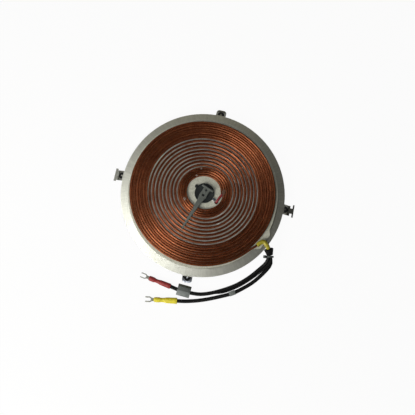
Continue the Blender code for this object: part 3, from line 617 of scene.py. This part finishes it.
def box(size, centre, turn=0.0, edge=0.0, segments=2):
    builder = bmesh.new()
    bmesh.ops.create_cube(builder, size=1)
    bmesh.ops.scale(builder, vec=size, verts=builder.verts)
    if edge:
        soften(builder, builder.edges[:], edge, segments)
    return moved(builder, spot(centre, turn))


def joined(*builders):
    """Several bodies in one piece."""
    whole = bmesh.new()
    for builder in builders:
        mesh = bpy.data.meshes.new("part")
        builder.to_mesh(mesh)
        builder.free()
        whole.from_mesh(mesh)
        bpy.data.meshes.remove(mesh)
    return whole


def turned(profile, steps):
    """A profile of (radius, height) pairs, spun full circle about Z."""
    builder = bmesh.new()
    verts = [builder.verts.new((radius, 0, height)) for radius, height in profile]
    edges = [builder.edges.new(pair) for pair in zip(verts, verts[1:])]
    bmesh.ops.spin(
        builder, geom=verts + edges, axis=(0, 0, 1), cent=(0, 0, 0), angle=math.tau, steps=steps,
        use_merge=True,
    )
    bmesh.ops.remove_doubles(builder, verts=builder.verts, dist=0.000005)
    return builder


def sheet_piece(outline, holes, thickness, edge, matrix):
    """A stamped flat piece lying in XY, centred on Z, with softened edges."""
    curve = bpy.data.curves.new("sheet", "CURVE")
    curve.dimensions = "2D"
    curve.fill_mode = "BOTH"
    curve.extrude = thickness / 2
    for line in [outline, *holes]:
        spline = curve.splines.new("POLY")
        spline.points.add(len(line) - 1)
        spline.use_cyclic_u = True
        for point, (x, y) in zip(spline.points, line):
            point.co = (x, y, 0, 1)
    mesh = as_mesh(curve)
    builder = bmesh.new()
    builder.from_mesh(mesh)
    bpy.data.meshes.remove(mesh)
    bmesh.ops.remove_doubles(builder, verts=builder.verts, dist=0.00001)
    bmesh.ops.dissolve_limit(builder, angle_limit=0.01, verts=builder.verts, edges=builder.edges)
    bmesh.ops.recalc_face_normals(builder, faces=builder.faces)
    if edge:
        rim = [e for e in builder.edges if len(e.link_faces) == 2 and e.calc_face_angle() > 1.2]
        soften(builder, rim, edge)
    return moved(builder, matrix)


def arc(centre, radius, start, end, steps):
    return [
        (centre[0] + radius * math.cos(start + (end - start) * i / steps),
         centre[1] + radius * math.sin(start + (end - start) * i / steps))
        for i in range(steps + 1)
    ]


def swollen(vert, share, phase):
    """A factor that makes a round outline uneven."""
    angle = math.atan2(vert.co.y, vert.co.x)
    return 1 + share * math.sin(3 * angle + phase) + 0.05 * math.sin(5 * angle)


# The camera

def make_camera():
    """Straight above but for five degrees, far off, so that the part shows almost as a plan."""
    tilt = math.radians(5)
    distance, seen_width = 1.4, 0.6062
    target = Vector((0.0069, -0.0183, 0.0105))
    camera = added("camera", bpy.data.cameras.new("camera"))
    camera.location = target + distance * Vector((0, -math.sin(tilt), math.cos(tilt)))
    camera.rotation_euler = (tilt, 0, 0)
    camera.data.sensor_width = 36
    camera.data.lens = 36 * distance / seen_width
    camera.data.clip_start = 0.05
    camera.data.clip_end = 10
    bpy.context.scene.camera = camera


# The leads

def make_leads(black):
    pieces_on = {
        "lead_a": ["cable_tie", "cable_tie_head", "red_terminal_sleeve", "red_fork"],
        "lead_b": ["lead_clip", "yellow_terminal_sleeve", "yellow_fork"],
        "sensor_cable": ["connector_housing", "connector_contact_1", "connector_contact_2"],
    }
    for name, stops, diameter in (
        ("lead_a", LEAD_A, LEAD_DIAMETER), ("lead_b", LEAD_B, LEAD_DIAMETER),
        ("sensor_cable", SENSOR_CABLE, SENSOR_DIAMETER),
    ):
        points = smooth_route([from_exit(stop) for stop in stops], 0.0052)
        curve = line_curve(name + "_jacket", [points], diameter, 5)
        jacket = added(name + "_jacket", curve)
        curve.materials.append(black)
        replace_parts(jacket, name)
        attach(jacket, UNIT)
        yield jacket, points[0], route_length(points), diameter, pieces_on[name]


def declare_leads(leads, shown):
    for jacket, start, length, diameter, on_it in leads:
        far_end = "connector" if "sensor" in jacket.name else "fitting"
        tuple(start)
        [shown[name] for name in on_it]


# The sheet under the winding

def make_mica(mica):
    """Round sheet with a tongue where the leads leave and holes for the sensor and the inner end."""
    centre = (COIL_CENTRE.x - 0.0007, COIL_CENTRE.y - 0.0007)
    tongue = [from_exit((*point, 0)) for point in MICA_TONGUE]
    ends = [math.atan2(point.y - centre[1], point.x - centre[0]) for point in (tongue[0], tongue[-1])]
    outline = arc(centre, MICA_RADIUS, ends[0], ends[1] + math.tau, 240)
    outline += [(point.x, point.y) for point in reversed(tongue[1:-1])]
    eye = from_holder(*INNER_EYE, 0)
    holder_hole, eye_hole = 0.0121, 0.0032
    holes = [
        arc((HOLDER_CENTRE.x, HOLDER_CENTRE.y), holder_hole, 0, math.tau, 48)[:-1],
        arc((eye.x, eye.y), eye_hole, 0, math.tau, 24)[:-1],
    ]
    place = spot((0, 0, (MICA_BASE + MICA_TOP) / 2))
    sheet = sheet_piece(outline, holes, MICA_TOP - MICA_BASE, 0, place)
    finished("mica_disc", sheet, mica, replaces=["mica_sheet"])


# The winding

def eased(value, low, high):
    share = min(max((value - low) / (high - low), 0), 1)
    return share * share * (3 - 2 * share)


def ring_radius(turns):
    """Radius of the grey cord by turns from its start; its rings are a little oval and off centre."""
    angle = math.tau * (turns + CORD_START)
    to_side = (0.001016 - 0.000119 * turns) * math.cos(angle)
    to_back = (0.001764 - 0.000124 * turns) * math.sin(angle)
    oval = 0.000652 * math.cos(2 * angle) - 0.000644 * math.sin(2 * angle)
    return 0.03813 + 0.005209 * turns + (to_side + to_back) + oval


def spiral_radius(turns):
    """Radius of the winding by turns from its inner end; all but the turns at the cord lie close."""
    past = turns - CORD_START
    inner_pitch, next_but_one, beside_cord, widening = 0.0034, 0.0059, 0.0027, 0.0020
    if past < 2:
        return spiral_radius(turns + 1) - inner_pitch
    if past < 3:
        return ring_radius(past - 2) - next_but_one - widening * eased(turns, 3.05, 3.375)
    if past < 4:
        return ring_radius(past - 3) - beside_cord
    if past < 11:
        return (ring_radius(past - 4) + ring_radius(past - 3)) / 2
    if past < 12:
        return ring_radius(past - 4) + beside_cord
    angle = math.tau * turns
    outer_pitch = 0.00326 - 0.00016 * math.sin(angle) - 0.00005 * math.cos(angle)
    return spiral_radius(turns - 1) + outer_pitch + widening * (1 - eased(turns, 12.375, 12.7))


def coil_line(start, first, last, steps, radius, height):
    """A line round the coil; its radius goes by the turns, which are counted from start."""
    line = []
    for i in range(steps + 1):
        turns = first + (last - first) * i / steps
        angle = math.tau * (turns + start)
        reach = radius(turns)
        line.append(COIL_CENTRE + Vector((reach * math.cos(angle), reach * math.sin(angle), height)))
    return line


def twisted(line, strands, reach, lay):
    """The lines of strands laid round a centre line like those of a rope."""
    up = Vector((0, 0, 1))
    walked = [0.0]
    for a, b in zip(line, line[1:]):
        walked.append(walked[-1] + (b - a).length)
    lines = []
    for strand in range(strands):
        points = []
        for index, point in enumerate(line):
            way = (line[min(index + 1, len(line) - 1)] - line[max(index - 1, 0)]).normalized()
            side = way.cross(up).normalized()
            over = side.cross(way)
            angle = math.tau * (walked[index] / lay + strand / strands)
            points.append(point + reach * (side * math.cos(angle) + over * math.sin(angle)))
        lines.append(points)
    return lines


def rope(name, line, spacing, strands, lay, diameter, strand_diameter):
    """A mesh of strands laid round a line; the lay is the length in which a strand goes round once."""
    lines = twisted(evened(line, spacing), strands, (diameter - strand_diameter) / 2, lay)
    return as_mesh(line_curve(name, lines, strand_diameter, 1))


def make_winding(copper, cord):
    line = [INNER_END + INWARD * 0.0045]
    line += coil_line(0, 0, LITZ_TURNS, 2400, spiral_radius, LITZ_AXIS)
    line += [
        from_exit((-0.01466, 0.00132, SLEEVE_AXIS)), from_exit((-0.01326, 0.00242, SLEEVE_AXIS + 0.0002))
    ]
    mesh = rope(
        "litz_strands", line, spacing=0.0052, strands=9, lay=0.045,
        diameter=LITZ_DIAMETER, strand_diameter=STRAND_DIAMETER,
    )
    finished("litz_strands", mesh, copper, replaces=["litz_winding"])
    first, last = CORD_ENDS
    axis = MICA_TOP + 0.0001 + CORD_DIAMETER / 2
    line = coil_line(CORD_START, first, last, round((last - first) * 300), ring_radius, axis)
    mesh = rope(
        "spacer_plies", line, spacing=0.0013, strands=3, lay=0.0085,
        diameter=CORD_DIAMETER, strand_diameter=PLY_DIAMETER,
    )
    finished("spacer_plies", mesh, cord, replaces=["spacer_cord"])


# The sensor in the middle

def leaf_block(size, distance, low, high, edge):
    """A block in line with the leaf, at a distance along it, from one height to another."""
    along = distance * Vector((math.cos(LEAF_DIRECTION), math.sin(LEAF_DIRECTION), 0))
    centre = LEAF_CENTRE + along + Vector((0, 0, (low + high) / 2))
    return box((*size, high - low), centre, LEAF_DIRECTION, edge)


def make_holder(rubber):
    """Grooved rubber cup with a seat and a peg for the leaf, and a small lug at its side."""
    top = MICA_TOP + 0.0018
    seat_top = 0.0194
    profile = (
        (0, top - 0.0006), (0.0128, top - 0.0006), (0.0131, top - 0.0005), (0.0132, top - 0.0002),
        (0.0134, top), (0.0141, top), (0.0144, top - 0.0003), (0.0144, top - 0.0013),
        (0.0143, top - 0.0015), (0.0120, top - 0.0015), (0.0120, 0.0087), (0.0131, 0.0087),
        (0.0129, 0.0083), (0.0121, 0.0072), (0.0117, 0.0071), (0.0028, 0.0071), (0.0028, 0.0158),
        (0, 0.0158),
    )
    cup = moved(turned(profile, 64), spot(HOLDER_CENTRE))
    profile = (
        (0, top), (0.0008, top), (0.0010, top - 0.0004), (0.0012, top), (0.0022, top),
        (0.0026, top - 0.0004), (0.0026, top - 0.0015), (0, top - 0.0015),
    )
    lug = moved(turned(profile, 28), spot(from_holder(138, 0.0007, 0)))
    seat = leaf_block((0.0125, 0.0092), 0.00475, top - 0.0007, seat_top, 0.0005)
    peg = leaf_block((0.0016, 0.0016), 0.0036, seat_top - 0.0005, LEAF_TOP + 0.0001, 0.0002)
    whole = joined(cup, lug, seat, peg)
    finished("holder_body", whole, rubber, replaces=["sensor_holder"])


def make_leaf(paint):
    """Stamped leaf with a broad head, a tapering arm and two square holes; the head is folded up."""
    head_width, head_depth, length, thickness = 0.0187, 0.0030, 0.0705, 0.001
    x, y = head_depth / 2, head_width / 2
    shares = ((0.10, 0.55), (0.19, 0.60), (0.25, 0.48), (0.33, 0.40), (0.58, 0.27), (1.0, 0.10))
    side = [(x, y), (x, 0.55 * y)] + [(along * length, wide * y) for along, wide in shares]
    outline = [(-x, -y)] + [(place, -wide) for place, wide in side] + side[::-1] + [(-x, y)]
    holes = [
        [(c - h, -h), (c + h, -h), (c + h, h), (c - h, h)]
        for c, h in ((0.0036, 0.0013), (0.0117, 0.0016))
    ]
    place = spot(LEAF_CENTRE + Vector((0, 0, LEAF_TOP - thickness / 2)), LEAF_DIRECTION)
    strip = sheet_piece(outline, holes, thickness, 0.00018, place)
    fold = moved(box((0.0019, head_width, 0.0009), (-0.00045, 0, 0.0008), 0, 0.0003, 3), place)
    finished("leaf_strip", joined(strip, fold), paint, LEAF, replaces=["sensor_leaf"])


# The ends of the winding

def make_end_sleeves(red, yellow):
    """Woven sleeves; the outer one is wide and hollow."""
    first = INNER_END + INWARD * 0.0030
    stops = [
        first, first + INWARD * 0.0014,
        from_holder(-14.0, 0.0090, LITZ_AXIS), from_holder(-29.0, 0.00749, LITZ_AXIS),
        from_holder(-34.6, 0.00728, LITZ_AXIS - 0.0012), from_holder(*INNER_EYE, MICA_BASE),
    ]
    mesh = tube("red_end_sleeve", smooth_route(stops, 0.0006), RED_SLEEVE_DIAMETER, 4)
    finished("red_end_sleeve", mesh, red, replaces=["inner_end_sleeve"])
    stops = (
        (-0.01461, 0.00137, SLEEVE_AXIS), (-0.01326, 0.00242, 0.0188), (-0.0115, 0.0042, 0.0188),
        (-0.0078, 0.0062, 0.0188), (-0.0046, 0.0064, 0.0187), (-0.0019, 0.0040, 0.0188),
        (0.0003, 0.0008, 0.0178), (0.0019, -0.0025, 0.0152),
    )
    points = smooth_route([from_exit(stop) for stop in stops], 0.0008)
    mesh = tube("yellow_end_sleeve", points, YELLOW_SLEEVE_DIAMETER, 6, caps=False)
    sleeve = finished(
        "yellow_end_sleeve", mesh, yellow, replaces=["outer_end_sleeve"]
    )
    wall = sleeve.modifiers.new("wall", "SOLIDIFY")
    wall.thickness = 0.0004
    wall.offset = -1


def make_boot(black):
    """Shrunk collar, wide and creased where the sleeve goes in, narrow where the leads come out."""
    start, end = from_exit((0.0027, -0.0039, 0.0130)), from_exit((0.0044, -0.0119, 0.0090))
    axis = end - start
    wide, narrow, wall, rings = 0.0071, 0.0046, 0.0008, 9
    outer = []
    for i in range(rings + 1):
        share = i / rings
        outer.append((wide + (narrow - wide) * share ** 0.9, axis.length * (share - 0.5)))
    inner = [(radius - wall, height) for radius, height in reversed(outer[:3])]
    builder = turned([(0, outer[2][1])] + inner + outer + [(0, outer[-1][1])], 40)
    for vert in builder.verts:
        angle = math.atan2(vert.co.y, vert.co.x)
        share = vert.co.z / axis.length + 0.5
        crease = 1 - 0.08 * (1 - share) * (0.5 + 0.5 * math.cos(5 * angle + 0.6))
        vert.co.x *= crease
        vert.co.y *= crease * 0.74
    moved(builder, facing((start + end) / 2, axis))
    finished(
        "boot_collar", builder, black, replaces=["lead_boot"], smooth=math.radians(50)
    )


def make_tie(nylon):
    """Toothed band drawn round the two leads and the cable, with its square head."""
    centre = from_exit((0.0040, -0.01468, 0.0080))
    half, tooth_size = 0.0013, (0.00035, 0.0017, 0.0002)
    profile = (
        (0.0062, -half), (0.0067, -half), (0.0070, -half + 0.0003), (0.0070, half - 0.0003),
        (0.0067, half), (0.0062, half), (0.0062, -half),
    )
    oval = Matrix.Diagonal((0.857, 1, 1, 1))
    band = moved(turned(profile, 56), spot(centre, math.pi / 2, "X") @ oval)
    teeth = []
    for index in range(24):
        angle = math.radians(186 - 8 * index)
        place = centre + Vector((0.00595 * math.cos(angle), 0, 0.00695 * math.sin(angle)))
        tooth = box(tooth_size, (0, 0, 0), 0, 0.00005, 1)
        teeth.append(moved(tooth, spot(place, math.pi / 2 - angle, "Y")))
    finished("tie_band", joined(band, *teeth), nylon, replaces=["cable_tie"])
    head = box((0.0038, 0.0042, 0.0040), (-0.0086, 0, 0), 0, 0.0007, 3)
    tail = box((0.0012, 0.0026, 0.0012), (-0.0085, 0, -0.0024), 0, 0.0003, 1)
    whole = moved(joined(head, tail), spot(centre, math.radians(35), "Y"))
    finished("tie_head", whole, nylon, replaces=["cable_tie_head"])


# What is on the leads

def make_clip(nylon):
    """Moulded sleeve, square outside and round inside, on the lower lead."""
    turn = math.radians(20.5) + math.pi / 2
    place = spot(from_exit((-0.05025, -0.06748, 0.0037)), turn) @ Matrix.Rotation(math.pi / 2, 4, "X")
    half, corner, bore, length = 0.0034, 0.0012, 0.00255, 0.0094
    outline = []
    for index, (x, y) in enumerate(((1, 1), (-1, 1), (-1, -1), (1, -1))):
        start = index * math.pi / 2
        outline += arc((x * (half - corner), y * (half - corner)), corner, start, start + math.pi / 2, 4)
    hole = arc((0, 0), bore, 0, math.tau, 32)[:-1]
    clip = sheet_piece(outline, [hole], length, 0.0002, place)
    finished("clip_sleeve", clip, nylon, replaces=["lead_clip"])


def make_connector(nylon):
    """Housing with an open mouth at the front, a step behind the mouth and a framed latch on top."""
    length, depth, body, ledge = 0.0193, 0.0170, 0.0073, 0.0079
    mouth_x, mouth_y, mouth_z, floor = 0.0138, 0.0082, 0.0046, 0.0014
    builder = box((length, depth, body), (0, 0, body / 2))
    front = max(builder.faces, key=lambda face: face.calc_center_median().y)
    bmesh.ops.inset_region(builder, faces=[front], thickness=0.001)
    for vert in front.verts:
        vert.co.x = math.copysign(mouth_x / 2, vert.co.x)
        vert.co.z = floor if vert.co.z < body / 2 else floor + mouth_z
    pushed = bmesh.ops.extrude_discrete_faces(builder, faces=[front])["faces"][0]
    bmesh.ops.translate(builder, vec=(0, -mouth_y, 0), verts=pushed.verts)
    edges = [e for e in builder.edges if len(e.link_faces) == 2 and e.calc_face_angle() > 1.0]
    soften(builder, edges, 0.0003)
    base = body - 0.0001
    step = box((length - 0.0002, 0.0138, ledge - base), (0, -0.0015, (ledge + base) / 2), 0, 0.0002)
    latch = [box((0.0112, 0.0007, 0.0006), (0, y, ledge), 0, 0.0001, 1) for y in (0.0040, -0.0002)]
    latch += [
        box((0.0007, 0.0049, 0.0006), (x, 0.0019, ledge), 0, 0.0001, 1) for x in (-0.00525, 0.00525)
    ]
    place = spot(from_exit((*CONNECTOR_PLACE, 0.0056)), CONNECTOR_TURN)
    whole = moved(joined(builder, step, *latch), place)
    finished("connector_shell", whole, nylon, replaces=["connector_housing"])


def make_terminal(name, start, end, radius, bulb, width, cover, metal):
    """Moulded cover, pinched behind its bulb, and the fork that comes out of it, of the given width."""
    start = from_exit(start)
    axis = (from_exit((*end, 0)) - start) * Vector((1, 1, 0))
    way = axis.normalized()
    whole = axis.length + 0.0008
    shares = (
        (0.0, 0.66), (0.012, 0.94), (0.03, 1.0), (0.12, 0.995), (0.28, 0.97), (0.46, 0.935),
        (0.52, 0.84), (0.57, 0.75), (0.64, 0.72), (0.70, 0.735), (0.75, 0.96 * bulb), (0.80, bulb),
        (0.92, bulb), (0.975, 0.93 * bulb), (1.0, 0.65 * bulb),
    )
    profile = [(0, 0)] + [(r * radius, u * whole) for u, r in shares] + [(0, whole)]
    builder = turned(profile, 48)
    for vert in builder.verts:
        if abs(vert.co.x) < abs(vert.co.y):
            vert.co.y *= 1 - math.exp(-((vert.co.z / whole - 0.64) / 0.10) ** 2) * 0.06
    moved(builder, facing(start - way * 0.0002, way))
    finished(f"{name}_cover", builder, cover, replaces=[f"{name}_terminal_sleeve"])
    wide, gap, neck, reach, bend = width / 2, 0.0023, 0.0024, 0.0124, 0.0064
    quarter = math.pi / 2
    outline = [(-0.0015, -neck), (bend - wide, -neck)]
    outline += arc((bend, 0), wide, -1.5 * quarter, -quarter, 6)
    outline += [(reach - 0.0006, -wide), (reach, -wide + 0.0006), (reach - 0.0002, -gap)]
    outline += arc((bend, 0), gap, -quarter, -3 * quarter, 14)
    outline += [(reach - 0.0002, gap), (reach, wide - 0.0006), (reach - 0.0006, wide)]
    outline += arc((bend, 0), wide, quarter, 1.5 * quarter, 6)
    outline += [(bend - wide, neck), (-0.0015, neck)]
    root = start + way * (axis.length + 0.0009)
    fork = sheet_piece(outline, [], 0.0008, 0.00015, spot(root, math.atan2(way.y, way.x)))
    finished(f"{name}_prongs", fork, metal, replaces=[f"{name}_fork"])


def make_glue(glue):
    """Flat, uneven drops that sank a little between the wires."""
    places = ((-0.0262, -0.0062, 0.0022), (-0.0088, 0.0280, 0.00154), (-0.0018, 0.0382, 0.00132))
    flatness = 0.27
    for number, (x, y, radius) in enumerate(places, 1):
        builder = bmesh.new()
        bmesh.ops.create_uvsphere(builder, u_segments=24, v_segments=14, radius=radius)
        for vert in builder.verts:
            swell = swollen(vert, 0.10, number)
            vert.co = Vector((vert.co.x * swell, vert.co.y * swell, vert.co.z * flatness))
        moved(builder, spot((x, y, 0.0197)))
        finished(f"glue_drop_{number}", builder, glue, replaces=[f"glue_dot_{number}"])


def make_varnish_film(varnish):
    """Thin brown film of varnish that ran over the innermost turns beside the winding's start."""
    wide, long, thick = 0.0024, 0.0048, 0.0005
    builder = bmesh.new()
    bmesh.ops.create_uvsphere(builder, u_segments=36, v_segments=14, radius=1)
    for vert in builder.verts:
        swell = swollen(vert, 0.08, 1)
        vert.co = Vector((vert.co.x * swell * wide, vert.co.y * swell * long, vert.co.z * thick))
    moved(builder, spot((0.0306, 0.0030, 0.0191), math.radians(-8)))
    finished("varnish_film", builder, varnish)


# The stage

def lamp(name, place, aim, size, power, colour):
    data = bpy.data.lights.new(name, "AREA")
    data.shape = "RECTANGLE"
    data.size, data.size_y = size
    data.energy = power
    data.color = colour
    light = added(name, data)
    light.location = place
    light.rotation_euler = (Vector(aim) - Vector(place)).to_track_quat("-Z", "Y").to_euler()


def make_stage():
    bpy.context.scene.view_settings.view_transform = "Standard"
    builder = bmesh.new()
    bmesh.ops.create_grid(builder, x_segments=1, y_segments=1, size=4)
    mesh = bpy.data.meshes.new("floor")
    builder.to_mesh(mesh)
    builder.free()
    mesh.materials.append(pale_floor())
    floor = added("floor", mesh)
    floor.location = (0, 0, -0.0002)
    world = bpy.data.worlds.new("studio")
    bpy.context.scene.world = world
    world.use_nodes = True
    background = world.node_tree.nodes["Background"]
    background.inputs["Color"].default_value = (1, 1, 1, 1)
    background.inputs["Strength"].default_value = 0.02
    lamp("key", (-0.55, -0.55, 0.545), (0, 0, 0), (0.50, 0.45), 6.4, (1, 0.975, 0.90))
    lamp("overhead", (-0.245, -0.035, 1.20), (-0.05, -0.03, 0), (0.20, 0.26), 1.40, (0.975, 0.985, 1))
    lamp("low", (-0.34, 0.05, 0.27), (-0.08, 0, 0), (0.20, 0.16), 0.15, (1, 0.98, 0.90))
    lamp("back", (0, 0.55, 0.95), (0, 0, 0), (0.50, 0.45), 0.4, (1, 0.95, 0.76))


# The whole

def dress_kept_nodes(black, copper, collar):
    """Gives the nodes that are shown as they are their materials, and the leg bushes a lip."""
    brass = contact_brass()
    ferrite = sintered_ferrite()
    dress = {
        "carrier_plate": rolled_aluminium(), "thermistor_bead": bead_glass(),
        "inner_end_run": copper, "sensor_cable_run": black,
        "sensor_wire_blue": vinyl_cover("blue_skin", (0.02, 0.035, 0.08), (0.045, 0.07, 0.14), 0.3),
        "sensor_wire_white": vinyl_cover("white_skin", (0.55, 0.55, 0.56), (0.80, 0.80, 0.81), 0.3),
    }
    for name in frame["nodes"]:
        for start, material in (
            ("ferrite_bar", ferrite), ("leg_bush", collar), ("connector_contact", brass),
        ):
            if name.startswith(start):
                dress[name] = material
    for name, material in dress.items():
        node = frame["nodes"][name]
        for slot in node.material_slots:
            slot.material = material
        if name.startswith("leg_bush"):
            lip = node.modifiers.new("lip", "SOLIDIFY")
            lip.thickness = BUSH_LIP
            lip.offset = 1


def make_all():
    make_camera()
    black = black_jacket()
    leads = list(make_leads(black))
    copper = enamelled_copper()
    nylon = grey_nylon("grey_nylon", (0.155, 0.175, 0.172), (0.235, 0.262, 0.258))
    tie_nylon = grey_nylon("tie_nylon", (0.050, 0.060, 0.060), (0.090, 0.105, 0.103))
    red = woven_sleeve(
        "red_braid", (0.17, 0.014, 0.020), (0.42, 0.038, 0.050), around=9, pitch=0.0016, roughness=0.35
    )
    yellow = woven_sleeve(
        "yellow_braid", (0.30, 0.255, 0.012), (0.66, 0.57, 0.052), around=12, pitch=0.0018, roughness=0.35
    )
    collar = shrunk_collar()
    dress_kept_nodes(black, copper, collar)
    make_mica(pressed_mica())
    make_winding(copper, grey_cord())
    make_holder(moulded_rubber())
    make_leaf(grey_leaf_paint())
    make_end_sleeves(red, yellow)
    make_boot(collar)
    make_tie(tie_nylon)
    make_clip(nylon)
    make_connector(connector_nylon())
    tin = tinned_metal()
    red_vinyl = vinyl_cover("red_vinyl", (0.27, 0.028, 0.028), (0.42, 0.045, 0.045), 0.40)
    yellow_vinyl = vinyl_cover("yellow_vinyl", (0.76, 0.64, 0.035), (0.95, 0.84, 0.07), 0.40)
    make_terminal(
        "red", LEAD_A[-1], (-0.1712, -0.0454), radius=0.0039, bulb=0.95, width=0.0077,
        cover=red_vinyl, metal=tin,
    )
    make_terminal(
        "yellow", LEAD_B[-1], (-0.1638, -0.0767), radius=0.0045, bulb=0.84, width=0.0084,
        cover=yellow_vinyl, metal=tin,
    )
    make_glue(dried_glue())
    make_varnish_film(run_varnish())
    shown = {}
    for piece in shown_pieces():
        if "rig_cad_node" in piece:
            shown[piece["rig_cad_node"]] = piece
        for name in piece.get("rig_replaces", []):
            shown[name] = piece
    declare_leads(leads, shown)
    make_stage()


make_all()
